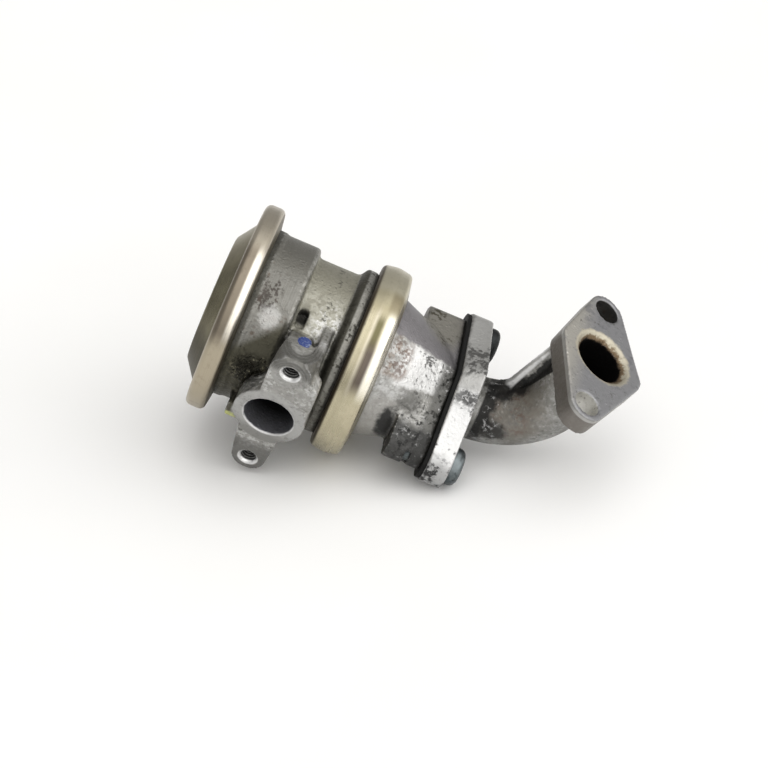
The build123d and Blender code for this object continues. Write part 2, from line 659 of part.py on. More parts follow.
def reed_rivet():
    tail, head = cage_end - CAGE_T, reed_x + STOP_T
    return turned(
        (tail - RIVET_HEAD_H * 0.7, 0), (tail - RIVET_HEAD_H * 0.7, RIVET_HEAD_R * 0.8, 0.5), (tail, RIVET_HEAD_R * 0.8),
        (tail, RIVET_R), (head, RIVET_R), (head, RIVET_HEAD_R), (head + RIVET_HEAD_H, RIVET_HEAD_R, 1.0),
        (head + RIVET_HEAD_H, 0))


# ---------------------------------------------------------------- lower housing, gasket, elbow and bolts
def bolt_holes(start, end, radius):
    """Tool for both bolt holes, between two heights over the lower housing."""
    circles = [joint_plane(start) * Pos(side * BOLT_REACH, 0) * Circle(radius) for side in (-1, 1)]
    return extrude(circles[0], end - start) + extrude(circles[1], end - start)


def lower_housing():
    """Funnel that goes from the round joint to the narrow two-bolt end, with its bolt ears."""
    collar = turned(
        (cage_x, 0), (cage_x, JOINT_FLANGE_R, 0.3), (lower_flange_end - 0.2, JOINT_FLANGE_R, 0.8),
        (lower_flange_end + RING_END_LEAN, RING_END_R - CRIMP_GAP - 0.4), (lower_flange_end + RING_END_LEAN, FUNNEL_R),
        (funnel_x, FUNNEL_R), (funnel_x, 0))
    end = two_bolt_corners(EAR_BLOCK_R, NARROW_W, NARROW_CORNER, reach=NARROW_REACH)
    funnel = loft([across(funnel_x) * round_belt(end, FUNNEL_R), joint_plane(0) * belt(end)], ruled=True)
    ears = extrude(joint_plane(0) * belt(two_bolt_corners(EAR_BLOCK_R, NARROW_W, NARROW_CORNER)), -EAR_BLOCK)
    outer = BOLT_REACH + EAR_BLOCK_R
    groove = extrude(joint_plane(-EAR_PLATE) * Pos(EAR_GROOVE_DEPTH - 1.5 * outer, 0) * Rectangle(outer, outer), -EAR_GROOVE)
    room = turned(
        (cage_x, 0), (cage_x, LOWER_ROOM_R), (room_end_x, LOWER_ROOM_R, 3.0),
        (room_end_x + FUNNEL_LEN, OUTLET_BORE_R + 0.6, 4.0), (bend_x, OUTLET_BORE_R), (bend_x, 0))
    return collar + funnel + ears - groove - room - bolt_holes(ELBOW_FLANGE - BOLT_LEN - BOLT_SPARE, 0, BOLT_R)


def flange_gasket():
    outline = two_bolt_corners(ELBOW_EAR_R - GASKET_INSET, ELBOW_HALF_FRONT - GASKET_INSET, ELBOW_CORNER)
    plate = extrude(joint_plane(0) * belt(outline), GASKET_T)
    way = drum(gasket_x - ELBOW_FLANGE, bend_x, OUTLET_BORE_R + GASKET_INSET)
    return plate - way - bolt_holes(0, GASKET_T, BOLT_HOLE_R)


def roll(shape):
    """Turns what is drawn with the bend in the XZ plane to the elbow's real direction."""
    return Rot(X=-BEND_ROLL) * shape


bend = radians(BEND_ANGLE)
outlet_dir = Vector(cos(bend), 0, sin(bend))
bend_end = Vector(bend_x + BEND_R * sin(bend), 0, BEND_R * (1 - cos(bend)))
outlet_centre = bend_end + outlet_dir * STRAIGHT
outlet_plane = Plane(outlet_centre, x_dir=(0, 1, 0), z_dir=outlet_dir)


def bent_bar(radius):
    """Round bar along the elbow's centre line."""
    disc = Plane.YZ.offset(bend_x) * Circle(radius)
    end_plane = Plane(bend_end, x_dir=(0, 1, 0), z_dir=outlet_dir)
    return (extrude(disc, -ELBOW_FLANGE / 2)
            + revolve(disc, Axis((bend_x, 0, BEND_R), (0, -1, 0)), BEND_ANGLE)
            + extrude(end_plane * Circle(radius), STRAIGHT))


def outlet_hole(side):
    """Centre of a hole of the outlet flange, in the plane of its face. Side 0 is midway between them."""
    half, tilt = side * OUTLET_PITCH / 2, radians(OUTLET_TILT)
    return half * cos(tilt) - OUTLET_OFFSET, half * sin(tilt) + OUTLET_SHIFT


def outlet_flange():
    centre = OUTLET_HALF - OUTLET_CORNER
    outline = belt(hull_corners(
        (*outlet_hole(1), OUTLET_EAR_R), (0, centre, OUTLET_CORNER), (*outlet_hole(-1), OUTLET_EAR_R),
        (0, -centre, OUTLET_CORNER)))
    return extrude(outlet_plane * outline, -OUTLET_FLANGE)


def bend_rib():
    """Thin rib inside the bend, from the elbow's flange to the outlet flange."""
    def beside_tube(back, out):
        return outlet_centre - outlet_dir * back + outlet_plane.y_dir * out
    foot = beside_tube(STRAIGHT, RIB_OUT)
    top = beside_tube(OUTLET_FLANGE / 2, RIB_OUT_TOP)
    corner_x = foot.X - (foot.Z - RIB_H) * (top.X - foot.X) / (top.Z - foot.Z)
    inner = beside_tube(OUTLET_FLANGE / 2, 0)
    mid_bend = (bend_x + BEND_R * sin(bend / 2), BEND_R * (1 - cos(bend / 2)))
    return extrude(rounded_polygon(
        Plane.XZ, (bend_x - ELBOW_FLANGE / 2, 0), (bend_x - ELBOW_FLANGE / 2, RIB_FOOT), (corner_x, RIB_H, RIB_BLEND),
        (top.X, top.Z), (inner.X, inner.Z), (bend_end.X, bend_end.Z), mid_bend), RIB_T / 2, both=True)


def elbow_pipe():
    """Cast elbow with a two-bolt flange at each end and a rib inside the bend."""
    front = two_bolt_corners(ELBOW_EAR_R, ELBOW_HALF_FRONT, ELBOW_CORNER)
    back = two_bolt_corners(ELBOW_EAR_R, ELBOW_HALF_BACK, ELBOW_CORNER)
    back_height = GASKET_T + ELBOW_FLANGE
    flange = loft([joint_plane(GASKET_T) * belt(front), joint_plane(back_height) * belt(back)], ruled=True)
    bore = bent_bar(OUTLET_BORE_R) + drum(gasket_x - ELBOW_FLANGE, bend_x, OUTLET_BORE_R)
    solid = outlet_flange() + bent_bar(TUBE_R) + bend_rib()
    holes = extrude(outlet_plane * Circle(OUTLET_SINK_R), -OUTLET_SINK, taper=45)
    for side in (-1, 1):
        holes += extrude(outlet_plane * Pos(*outlet_hole(side)) * Circle(OUTLET_HOLE_R), -OUTLET_FLANGE)
    return flange + roll(solid - holes) - roll(bore) - bolt_holes(GASKET_T, back_height, BOLT_HOLE_R)


def flange_bolt(side):
    """Screw with a rounded head and a hexagon socket."""
    seat = joint_plane(GASKET_T + ELBOW_FLANGE) * Pos(side * BOLT_REACH, 0)
    shank = extrude(seat * Circle(BOLT_R - SEAT_GAP), -BOLT_LEN)
    head = extrude(seat * Circle(BOLT_HEAD_R), BOLT_HEAD_H)
    head = fillet(head.edges().filter_by(GeomType.CIRCLE).sort_by(Axis.X)[-1], BOLT_HEAD_ROUND)
    socket = extrude(seat * Pos(0, 0, BOLT_HEAD_H) * RegularPolygon(BOLT_SOCKET_AF / sqrt(3), 6), -BOLT_SOCKET_DEPTH)
    return shank + head - socket


def flange_bolts():
    return Compound(children=[flange_bolt(-1), flange_bolt(1)])


PIECES = {
    "diaphragm_cover": diaphragm_cover,
    "diaphragm": diaphragm,
    "diaphragm_plate": diaphragm_plate,
    "spring_cup": spring_cup,
    "stem_top_nut": stem_top_nut,
    "return_spring": return_spring,
    "spring_seat_washer": spring_seat_washer,
    "valve_stem": valve_stem,
    "guide_bush": guide_bush,
    "stem_seal": stem_seal,
    "seal_retainer": seal_retainer,
    "upper_housing": upper_housing,
    "valve_seal": valve_seal,
    "valve_disc": valve_disc,
    "valve_nut": valve_nut,
    "crimp_ring": crimp_ring,
    "housing_seal": housing_seal,
    "check_valve_cage": check_valve_cage,
    "reed_strip": reed_strip,
    "reed_petal_upper": lambda: reed_petal(1),
    "reed_petal_lower": lambda: reed_petal(-1),
    "reed_stop": reed_stop,
    "reed_rivet": reed_rivet,
    "lower_housing": lower_housing,
    "flange_gasket": flange_gasket,
    "elbow_pipe": elbow_pipe,
    "flange_bolts": flange_bolts,
}

os.makedirs("parts", exist_ok=True)
origin = Rot(X=-BEND_ROLL) * outlet_plane.location * Pos(*outlet_hole(0))
to_row = Pos(*(-origin.position))
for name, make in PIECES.items():
    export_step(to_row * make(), f"parts/{name}.step")
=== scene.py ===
import json
import math

import bmesh
import bpy
from mathutils import Matrix, Vector


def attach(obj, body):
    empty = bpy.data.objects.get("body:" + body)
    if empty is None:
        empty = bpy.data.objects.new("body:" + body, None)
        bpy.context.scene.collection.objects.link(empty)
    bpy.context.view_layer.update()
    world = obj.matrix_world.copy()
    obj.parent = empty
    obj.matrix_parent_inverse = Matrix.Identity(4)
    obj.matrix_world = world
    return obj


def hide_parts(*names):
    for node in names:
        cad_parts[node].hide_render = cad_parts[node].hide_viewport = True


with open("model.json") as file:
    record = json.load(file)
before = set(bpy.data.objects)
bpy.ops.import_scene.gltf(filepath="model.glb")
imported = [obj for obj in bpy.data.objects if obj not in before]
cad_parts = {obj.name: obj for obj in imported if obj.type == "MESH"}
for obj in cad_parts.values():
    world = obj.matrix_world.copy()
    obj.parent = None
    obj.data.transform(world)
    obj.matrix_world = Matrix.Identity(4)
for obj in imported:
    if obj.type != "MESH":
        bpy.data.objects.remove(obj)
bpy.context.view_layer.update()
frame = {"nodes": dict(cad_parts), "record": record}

nodes = frame["nodes"]

# The looks of an air shut-off and check valve with its outlet elbow. Places and lengths on the valve are
# millimetres in the valve's own frame: x along its axis from the outer face of the cover's rim, -y towards
# the inlet port, z up. at() turns a place into metres in the shared frame. The floor, the lamp and Blender's
# own settings are metres. Angles round the axis are degrees: 0 on top, 90 at the inlet port.

# ---------------------------------------------------------------- places
MM = 0.001
VALVE_ORIGIN = Vector((-114.991, -6.034, -39.690)) * MM

# along the axis, as (start, end), and distances from it
RIM_R = 31.0
BARREL_END = 20.6
BARREL_R = (26.0, 29.2)
WAIST = (21.0, 36.6)
WAIST_R = 26.5
FIN = (30.5, 37.0)
FIN_R = 26.0
GROOVE = (36.9, 39.3)
GROOVE_R = 28.6
COLLAR = (39.2, 42.4)
BLOCK = (15.0, 41.0)
BLOCK_R = 31.0
RING_LEFT = (45.6, 46.9)
RING_SHOULDER = 49.6
FUNNEL_START = 53.0
FUNNEL_EAR_START = 62.5
FUNNEL_EAR_R = 21.5
NECK_START = 72.5
FLANGE = (77.0, 88.5)
FLANGE_R = 16.0
TUBE_START = 88.3
TUBE_TOP = 33.0            # height at which the tube meets the outlet flange
OUTLET_LOW = 24.0          # the outlet flange lies above this height

# inlet port and the two tapped holes beside it
PORT_X = 26.8
PORT_FACE_Y = -36.6
PORT_BORE_R = 8.35
PORT_FACE_R = (8.0, 12.4)
SCREW_MOUTHS = ((27.9, PORT_FACE_Y, 23.73), (25.7, PORT_FACE_Y, -23.73))
SCREW_WALL_R = 2.62
DOT_PLACE = (28.2, -21.2, 22.8)
DOT_FACES = (0.0, -0.46, 0.89)
DOT_R = 2.25
ARC_PITCH = 1.1            # of the tool marks round the upper screw hole

# outlet end of the elbow
BEND_ANGLE = math.radians(72.4)
BEND_ROLL = math.radians(10.5)
BORE_CENTRE = Vector((116.9, 7.2, 38.86))       # of the outlet, in its face
OUTLET_AXIS = Vector((math.cos(BEND_ANGLE), math.sin(BEND_ANGLE) * math.sin(BEND_ROLL),
                      math.sin(BEND_ANGLE) * math.cos(BEND_ROLL)))
INTO_BORE = tuple(-OUTLET_AXIS)
HOLE_LINE = Vector((-0.0333, 0.9846, -0.1717))  # from hole to hole
HOLE_SPAN = 23.4                                # from the middle between the two holes to each
HOLE_MIDDLE = -VALVE_ORIGIN / MM                # the shared frame starts midway between the holes
HOLE_R = 4.55
INWARD = OUTLET_AXIS.cross(HOLE_LINE)           # in the face, towards the inside of the bend
OUTLET_PLATE = 8.4
OUTLET_BORE_R = 9.3

# camera, floor and light
CAMERA_PLACE = (24.76, -538.71, 649.49)
CAMERA_LOOKS = Vector((0.03854, 0.63393, -0.77243))
CAMERA_ROLL = -25.55       # degrees about the line of sight
CAMERA_LENS = 121.9        # on a sensor 36 mm wide
CAMERA_NEAR = 0.01
FLOOR_SIZE = 6.0
FLOOR_MIDDLE = (50, 0, 0)
# The valve lies on its joint ring and on the elbow's screwed flange, with the cover raised.
FLOOR_UP = Vector((-0.360, 0.274, 0.892)).normalized()
LIGHT_FROM = Vector((0.25, -0.15, 0.95)).normalized()
ROOM_LEVEL = 0.47
SOFT_LEVEL = 1.62
RIGHT_LEVEL = 0.55
ROOM_COLOUR = (1.0, 0.99, 0.97, 1)
KEY_FROM = Vector((-0.05, 0.20, 1.0))
KEY_AIM = (55, 0, 0)
KEY_AWAY = 1.2
KEY_SIZE = 1.3
KEY_POWER = 1.5


def at(x, y, z):
    """Point given in millimetres in the valve's frame."""
    return VALVE_ORIGIN + Vector((x, y, z)) * MM


# ---------------------------------------------------------------- node helpers
def feed(tree, socket, value):
    """Sets a socket to a value, or links another node's output to it."""
    if isinstance(value, bpy.types.NodeSocket):
        tree.links.new(value, socket)
    else:
        socket.default_value = value


def add(tree, kind, sockets=None, **settings):
    """New node. sockets maps input names or numbers to values or to outputs of other nodes."""
    made = tree.nodes.new(kind)
    for name, value in settings.items():
        setattr(made, name, value)
    for key, value in (sockets or {}).items():
        feed(tree, made.inputs[key], value)
    return made


def maths(tree, operation, a, b=0.0, clamp=False):
    """Result of one sum on two values."""
    return add(tree, "ShaderNodeMath", {0: a, 1: b}, operation=operation, use_clamp=clamp).outputs[0]


def ramp(tree, value, start, end, low=0.0, high=1.0):
    """Value moved from the range start..end to low..high, with soft ends."""
    return add(tree, "ShaderNodeMapRange", {"Value": value, "From Min": start, "From Max": end, "To Min": low,
               "To Max": high}, interpolation_type="SMOOTHSTEP").outputs[0]


def vector_maths(tree, operation, a, b=None):
    """Node that works on one or two vectors."""
    sockets = {0: a} if b is None else {0: a, 1: b}
    return add(tree, "ShaderNodeVectorMath", sockets, operation=operation)


def mixed(tree, factor, a, b, mode="MIX"):
    """Colour between a and b."""
    made = add(tree, "ShaderNodeMix", {0: factor, 6: a, 7: b}, data_type="RGBA", blend_type=mode)
    return made.outputs[2]


def noise_at(tree, place, size, detail=4.0, roughness=0.55):
    """Noise whose coarsest lumps are about size millimetres across. The size may come from a socket."""
    scale = maths(tree, "DIVIDE", 1.0, size) if isinstance(size, bpy.types.NodeSocket) else 1.0 / size
    return add(tree, "ShaderNodeTexNoise", {"Vector": place, "Scale": scale, "Detail": detail,
               "Roughness": roughness}).outputs["Fac"]


def swing(tree, noise, width, middle=0.5):
    """Noise moved down so that it swings round 0, and made as wide as asked."""
    return maths(tree, "MULTIPLY", maths(tree, "SUBTRACT", noise, middle), width)


def grey(value, warmth=0.0):
    """Neutral colour, made a little yellower by warmth."""
    return value * (1 + 0.5 * warmth), value * (1 + 0.2 * warmth), value * (1 - warmth), 1.0


# ---------------------------------------------------------------- shared effects
def new_group(name, inputs, outputs):
    """Empty shader group. inputs and outputs map names to (kind, value) and kind."""
    tree = bpy.data.node_groups.new(name, "ShaderNodeTree")
    for label, (kind, value) in inputs.items():
        tree.interface.new_socket(label, in_out="INPUT",
                                  socket_type="NodeSocket" + kind).default_value = value
    for label, kind in outputs.items():
        tree.interface.new_socket(label, in_out="OUTPUT", socket_type="NodeSocket" + kind)
    return tree, tree.nodes.new("NodeGroupInput").outputs, tree.nodes.new("NodeGroupOutput").inputs


def use(tree, group, sockets=None):
    """Places a group in a tree and gives back its outputs."""
    made = add(tree, "ShaderNodeGroup", node_tree=group)
    for key, value in (sockets or {}).items():
        feed(tree, made.inputs[key], value)
    return made.outputs


def make_valve_place():
    """Position in the valve's frame in millimetres, with the distance along and from the axis and the
    angle round it in degrees: 0 on top, 90 at the inlet port."""
    tree, _, out = new_group("valve_place", {}, {"Place": "Vector", "Along": "Float", "Radius": "Float",
                                                 "Round": "Float", "Side": "Float", "Up": "Float"})
    here = add(tree, "ShaderNodeTexCoord").outputs["Object"]
    moved = vector_maths(tree, "SUBTRACT", here, tuple(VALVE_ORIGIN)).outputs[0]
    scaled = add(tree, "ShaderNodeVectorMath", {0: moved, "Scale": 1 / MM}, operation="SCALE").outputs[0]
    x, y, z = add(tree, "ShaderNodeSeparateXYZ", {0: scaled}).outputs
    flat = add(tree, "ShaderNodeCombineXYZ", {1: y, 2: z}).outputs[0]
    feed(tree, out["Place"], scaled)
    feed(tree, out["Along"], x)
    feed(tree, out["Side"], y)
    feed(tree, out["Up"], z)
    feed(tree, out["Radius"], vector_maths(tree, "LENGTH", flat).outputs["Value"])
    feed(tree, out["Round"], maths(tree, "MULTIPLY", maths(tree, "ARCTAN2", y, z), -math.degrees(1)))
    return tree


def make_patch():
    """Soft ragged patch round a centre: 1 inside, 0 outside."""
    tree, given, out = new_group(
        "ragged_patch", {"Place": ("Vector", (0, 0, 0)), "Centre": ("Vector", (0, 0, 0)),
                         "Reach": ("Vector", (5, 5, 5)),
                         "Ragged": ("Float", 0.5), "Lumps": ("Float", 3.0), "Softness": ("Float",
                                                                                         0.4)},
                                                                                         {"Mask": "Float"})
    offset = vector_maths(tree, "SUBTRACT", given["Place"], given["Centre"]).outputs[0]
    away = vector_maths(tree, "LENGTH", vector_maths(tree, "DIVIDE", offset,
                                                     given["Reach"]).outputs[0]).outputs["Value"]
    lumps = noise_at(tree, given["Place"], given["Lumps"], 5.0, 0.6)
    bent = maths(tree, "ADD", away, swing(tree, lumps, maths(tree, "MULTIPLY", given["Ragged"], 3.0)))
    low, high = maths(tree, "SUBTRACT", 1.0, given["Softness"]), maths(tree, "ADD", 1.0, given["Softness"])
    feed(tree, out["Mask"], ramp(tree, bent, low, high, 1.0, 0.0))
    return tree


def make_band():
    """1 where a value lies between two limits, with soft ends."""
    tree, given, out = new_group("band", {"Value": ("Float", 0.0), "From": ("Float", 0.0),
                                          "To": ("Float", 1.0),
                                          "Softness": ("Float", 0.2)}, {"Mask": "Float"})
    rise = ramp(tree, given["Value"], maths(tree, "SUBTRACT", given["From"], given["Softness"]),
                maths(tree, "ADD", given["From"], given["Softness"]))
    fall = ramp(tree, given["Value"], maths(tree, "SUBTRACT", given["To"], given["Softness"]),
                maths(tree, "ADD", given["To"], given["Softness"]), 1.0, 0.0)
    feed(tree, out["Mask"], maths(tree, "MULTIPLY", rise, fall))
    return tree


def make_cast_skin():
    """Skin of a sand-textured casting: its height, a slow change of tone, bright grains and dark pits."""
    tree, given, out = new_group("cast_skin", {"Place": ("Vector", (0, 0, 0)), "Grain": ("Float", 0.6)},
                                 {"Height": "Float", "Tone": "Float", "Mottle": "Float", "Grains": "Float",
                                  "Pits": "Float"})
    inverse = maths(tree, "DIVIDE", 1.0, given["Grain"])
    fine = noise_at(tree, given["Place"], given["Grain"], 2.0, 0.6)
    cells = add(tree, "ShaderNodeTexVoronoi", {"Vector": given["Place"],
                                               "Scale": maths(tree, "MULTIPLY", inverse, 0.9)})
    random = add(tree, "ShaderNodeSeparateColor", {0: cells.outputs["Color"]}).outputs
    patches = noise_at(tree, given["Place"], 4.0)
    dome = ramp(tree, cells.outputs["Distance"], 0.1, 0.6, 1.0, 0.0)
    grains = maths(tree, "MULTIPLY", ramp(tree, random[0], 0.72, 0.95), dome)
    feed(tree, out["Grains"], maths(tree, "MULTIPLY", grains, ramp(tree, patches, 0.35, 0.6)))
    feed(tree, out["Pits"], maths(tree, "MULTIPLY", ramp(tree, random[1], 0.78, 0.95), dome))
    feed(tree, out["Tone"], noise_at(tree, given["Place"], 9.0, detail=6.0, roughness=0.62))
    feed(tree, out["Mottle"], noise_at(tree, given["Place"], 1.7, detail=4.0, roughness=0.6))
    feed(tree, out["Height"], maths(tree, "ADD", fine, maths(tree, "MULTIPLY", grains, 0.6)))
    return tree


def make_grime_and_shade():
    """Dirt in loose blotches, with painted shade that darkens the corners."""
    tree, given, out = new_group("grime_and_shade", {"Place": ("Vector", (0, 0, 0)), "Reach": ("Float", 0.004),
                                           "Amount": ("Float", 0.5), "Lumps": ("Float",
                                                                               2.5)}, {"Mask": "Float"})
    open_air = add(tree, "ShaderNodeAmbientOcclusion", {"Distance": given["Reach"]}, samples=6).outputs["AO"]
    corner = ramp(tree, open_air, 0.3, 0.95, 1.0, 0.0)
    lumps = noise_at(tree, given["Place"], given["Lumps"], 6.0, 0.65)
    spread = maths(tree, "ADD", corner, swing(tree, lumps, 1.6, 0.55), clamp=True)
    feed(tree, out["Mask"], maths(tree, "MULTIPLY", spread, given["Amount"], clamp=True))
    return tree


def make_edge_wear_and_glint():
    """Edges rubbed bright, partly by wear and partly as a painted glint: 1 on sharp outer edges, broken up by
    noise.
    """
    tree, given, out = new_group("edge_wear_and_glint", {"Place": ("Vector", (0, 0, 0)), "Width": ("Float", 0.0004)},
                                 {"Mask": "Float"})
    rounded = add(tree, "ShaderNodeBevel", {"Radius": given["Width"]}, samples=4).outputs[0]
    true = add(tree, "ShaderNodeNewGeometry").outputs["True Normal"]
    turn = maths(tree, "SUBTRACT", 1.0, vector_maths(tree, "DOT_PRODUCT", rounded, true).outputs["Value"])
    broken = ramp(tree, noise_at(tree, given["Place"], 1.8), 0.38, 0.6)
    feed(tree, out["Mask"], maths(tree, "MULTIPLY", ramp(tree, turn, 0.02, 0.12), broken))
    return tree


def make_rolled_skin():
    """Skin of spun or rolled sheet: fine rings round the valve axis, soft stains and small scratches."""
    tree, given, out = new_group("rolled_skin", {"Place": ("Vector", (0, 0, 0)), "Along": ("Float", 0.0),
                                                 "Radius": ("Float", 0.0), "Round": ("Float", 0.0)},
                                 {"Rings": "Float", "Stain": "Float", "Marks": "Float"})
    drawn = add(tree, "ShaderNodeCombineXYZ", {0: maths(tree, "MULTIPLY", given["Along"], 5.0),
                1: maths(tree, "MULTIPLY", given["Radius"], 5.0), 2: maths(tree, "MULTIPLY",
                                                                           given["Round"],
                                                                           0.03)}).outputs[0]
    feed(tree, out["Rings"], add(tree, "ShaderNodeTexNoise",
                                 {"Vector": drawn, "Scale": 1.0, "Detail": 3.0}).outputs["Fac"])
    feed(tree, out["Stain"], noise_at(tree, given["Place"], 11.0, detail=5.0, roughness=0.6))
    specks = noise_at(tree, given["Place"], 0.8, detail=2.0)
    feed(tree, out["Marks"], ramp(tree, specks, 0.68, 0.78))
    return tree


def make_spots():
    """Ragged spots that gather in clusters: 1 on a spot. Cover is the share of the surface that they take."""
    tree, given, out = new_group("spots", {"Place": ("Vector", (0, 0, 0)), "Size": ("Float", 1.2),
                                           "Cover": ("Float", 0.3)}, {"Mask": "Float"})
    lumps = noise_at(tree, given["Place"], given["Size"], 4.0, 0.6)
    clusters = noise_at(tree, given["Place"], maths(tree, "DIVIDE", given["Size"], 0.22), 3.0, 0.5)
    lumps = maths(tree, "ADD", lumps, swing(tree, clusters, 0.7))
    level = ramp(tree, given["Cover"], 0.0, 1.0, 0.74, 0.30)
    feed(tree, out["Mask"], ramp(tree, lumps, maths(tree, "SUBTRACT", level, 0.10),
                                 maths(tree, "ADD", level, 0.08)))
    return tree


def make_off_axis():
    """Distance from a line, and the distance along it, in millimetres."""
    tree, given, out = new_group("off_axis", {"Place": ("Vector", (0, 0, 0)), "Point": ("Vector", (0, 0, 0)),
                                              "Axis": ("Vector", (0, 1, 0))}, {"Away": "Float",
                                                                               "Depth": "Float"})
    offset = vector_maths(tree, "SUBTRACT", given["Place"], given["Point"]).outputs[0]
    depth = vector_maths(tree, "DOT_PRODUCT", offset, given["Axis"]).outputs["Value"]
    along = add(tree, "ShaderNodeVectorMath", {0: given["Axis"], "Scale": depth},
                operation="SCALE").outputs[0]
    feed(tree, out["Away"], vector_maths(tree, "DISTANCE", offset, along).outputs["Value"])
    feed(tree, out["Depth"], depth)
    return tree


PLACE = make_valve_place()
PATCH = make_patch()
BAND = make_band()
CAST_SKIN = make_cast_skin()
GRIME_AND_SHADE = make_grime_and_shade()
EDGE_WEAR_AND_GLINT = make_edge_wear_and_glint()
ROLLED_SKIN = make_rolled_skin()
SPOTS = make_spots()
OFF_AXIS = make_off_axis()


# ---------------------------------------------------------------- materials
class Finish:
    """A material being built: a Principled BSDF with the valve's coordinates at hand."""

    def __init__(self, name):
        self.material = bpy.data.materials.new(name)
        self.material.use_nodes = True
        self.tree = self.material.node_tree
        self.shader = next(n for n in self.tree.nodes if n.type == "BSDF_PRINCIPLED")
        self.place = use(self.tree, PLACE)
        self.colour = None
        self.rough = None
        self.skin = None

    def patch(self, centre, reach, ragged=0.5, lumps=3.0, softness=0.4):
        """1 round a centre. reach is one distance, or one for each axis."""
        reach = reach if isinstance(reach, tuple) else (reach,) * 3
        return use(self.tree, PATCH, {"Place": self.place["Place"], "Centre": centre, "Reach": reach,
                                      "Ragged": ragged, "Lumps": lumps, "Softness": softness})["Mask"]

    def band(self, value, start, end, softness=0.2):
        """1 where the value lies between start and end."""
        return use(self.tree, BAND, {"Value": value, "From": start, "To": end, "Softness": softness})["Mask"]

    def spots(self, size, cover):
        """1 on ragged spots that take a share of the surface."""
        return use(self.tree, SPOTS, {"Place": self.place["Place"], "Size": size, "Cover": cover})["Mask"]

    def line(self, point, axis=(0, 1, 0)):
        """Distance from a line through a point, and depth along it."""
        made = use(self.tree, OFF_AXIS, {"Place": self.place["Place"], "Point": point, "Axis": axis})
        return made["Away"], made["Depth"]

    def both(self, *masks):
        """1 where all masks are 1."""
        result = masks[0]
        for mask in masks[1:]:
            result = maths(self.tree, "MULTIPLY", result, mask)
        return result

    def above(self, value, limit, softness):
        """1 where the value is over the limit."""
        return ramp(self.tree, value, limit - softness, limit + softness)

    def below(self, value, limit, softness):
        """1 where the value is under the limit."""
        return ramp(self.tree, value, limit - softness, limit + softness, 1.0, 0.0)

    def cover(self, mask, colour, roughness=None, strength=1.0, mode="MIX"):
        """Lays a colour, and its roughness, over what is there."""
        mask = maths(self.tree, "MULTIPLY", mask, strength, clamp=True)
        self.colour = mixed(self.tree, mask, self.colour, colour, mode)
        if roughness is not None:
            self.rough = add(self.tree, "ShaderNodeMix", {0: mask, 2: self.rough, 3: roughness}).outputs[0]

    def bump(self, height, distance, strength=1.0):
        """Adds relief on top of the relief that is there. distance is its full height."""
        previous = self.shader.inputs["Normal"].links
        sockets = {"Height": height, "Distance": distance * MM, "Strength": strength}
        if previous:
            sockets["Normal"] = previous[0].from_socket
        feed(self.tree, self.shader.inputs["Normal"], add(self.tree, "ShaderNodeBump", sockets).outputs[0])

    def done(self, metallic):
        """Joins the colour and roughness to the shader."""
        feed(self.tree, self.shader.inputs["Base Color"], self.colour)
        feed(self.tree, self.shader.inputs["Roughness"], self.rough)
        feed(self.tree, self.shader.inputs["Metallic"], metallic)
        return self.material


def plated_steel(name, light, dark):
    """Start of a warm nickel-zinc plating: rolled rings, stains and small dark marks."""
    coat = Finish(name)
    tree, here = coat.tree, coat.place
    skin = use(tree, ROLLED_SKIN, {"Place": here["Place"], "Along": here["Along"],
                                   "Radius": here["Radius"], "Round": here["Round"]})
    coat.colour = mixed(tree, ramp(tree, skin["Stain"], 0.3, 0.7), dark, light)
    coat.rough = ramp(tree, skin["Rings"], 0.3, 0.7, 0.24, 0.34)
    coat.bump(skin["Rings"], 0.02, 0.5)
    coat.bump(skin["Stain"], 0.5, 0.25)
    coat.skin = skin
    return coat


def finish_plating(coat):
    """Specks, scratches, dirt and painted shade in the corners, over all other colours."""
    tree, here = coat.tree, coat.place
    coat.cover(coat.skin["Marks"], (0.16, 0.12, 0.07, 1), 0.6, 0.4)
    coat.cover(ramp(tree, coat.skin["Rings"], 0.5, 0.75), (0.30, 0.25, 0.16, 1), None, 0.25)
    dirt_and_shade = use(tree, GRIME_AND_SHADE, {"Place": here["Place"], "Reach": 0.0022, "Amount": 0.8, "Lumps": 2.0})["Mask"]
    coat.cover(dirt_and_shade, (0.06, 0.05, 0.035, 1), 0.75, 0.8)
    return coat.done(0.9)


def plated_cover():
    """Pressed cover: an olive cone and a lighter rolled rim, with painted light and shade by the angle round
    the axis.
    """
    coat = plated_steel("plated_cover", (0.19, 0.175, 0.115, 1), (0.11, 0.098, 0.062, 1))
    here = coat.place
    rim = coat.above(here["Radius"], RIM_R, 0.5)
    low = coat.band(here["Round"], 68.0, 140.0, 13.0)
    # painted light and shade by the angle round the axis: the cone lighter on top and on the far side, darker
    # on its lower side
    coat.cover(coat.band(here["Round"], -110.0, 5.0, 22.0), (0.30, 0.27, 0.19, 1), 0.36, 0.8)
    coat.cover(coat.both(low, coat.below(here["Radius"], RIM_R, 1.0)), (0.055, 0.049, 0.032, 1), 0.5, 0.9)
    coat.cover(rim, (0.21, 0.18, 0.14, 1), 0.3)
    # the rim's tones by angle are painted light and shade: a cream painted highlight between the top and the
    # port, lighter tan at the port side and the far side, the darker base at the bottom
    lit = coat.both(rim, coat.band(here["Round"], 6.0, 56.0, 10.0), coat.above(here["Along"], 3.9, 0.5))
    coat.cover(lit, (0.88, 0.83, 0.73, 1), 0.28)
    coat.cover(coat.both(rim, coat.band(here["Round"], 60.0, 150.0, 6.0)), (0.42, 0.37, 0.28, 1), 0.34, 0.9)
    coat.cover(coat.both(rim, coat.band(here["Round"], -150.0, 4.0, 6.0)), (0.42, 0.38, 0.31, 1), 0.34, 0.9)
    # painted shade in the gap where the rim's lip meets the housing
    coat.cover(coat.above(here["Along"], 6.4, 0.2), (0.10, 0.085, 0.06, 1), 0.5, 0.85)
    return finish_plating(coat)


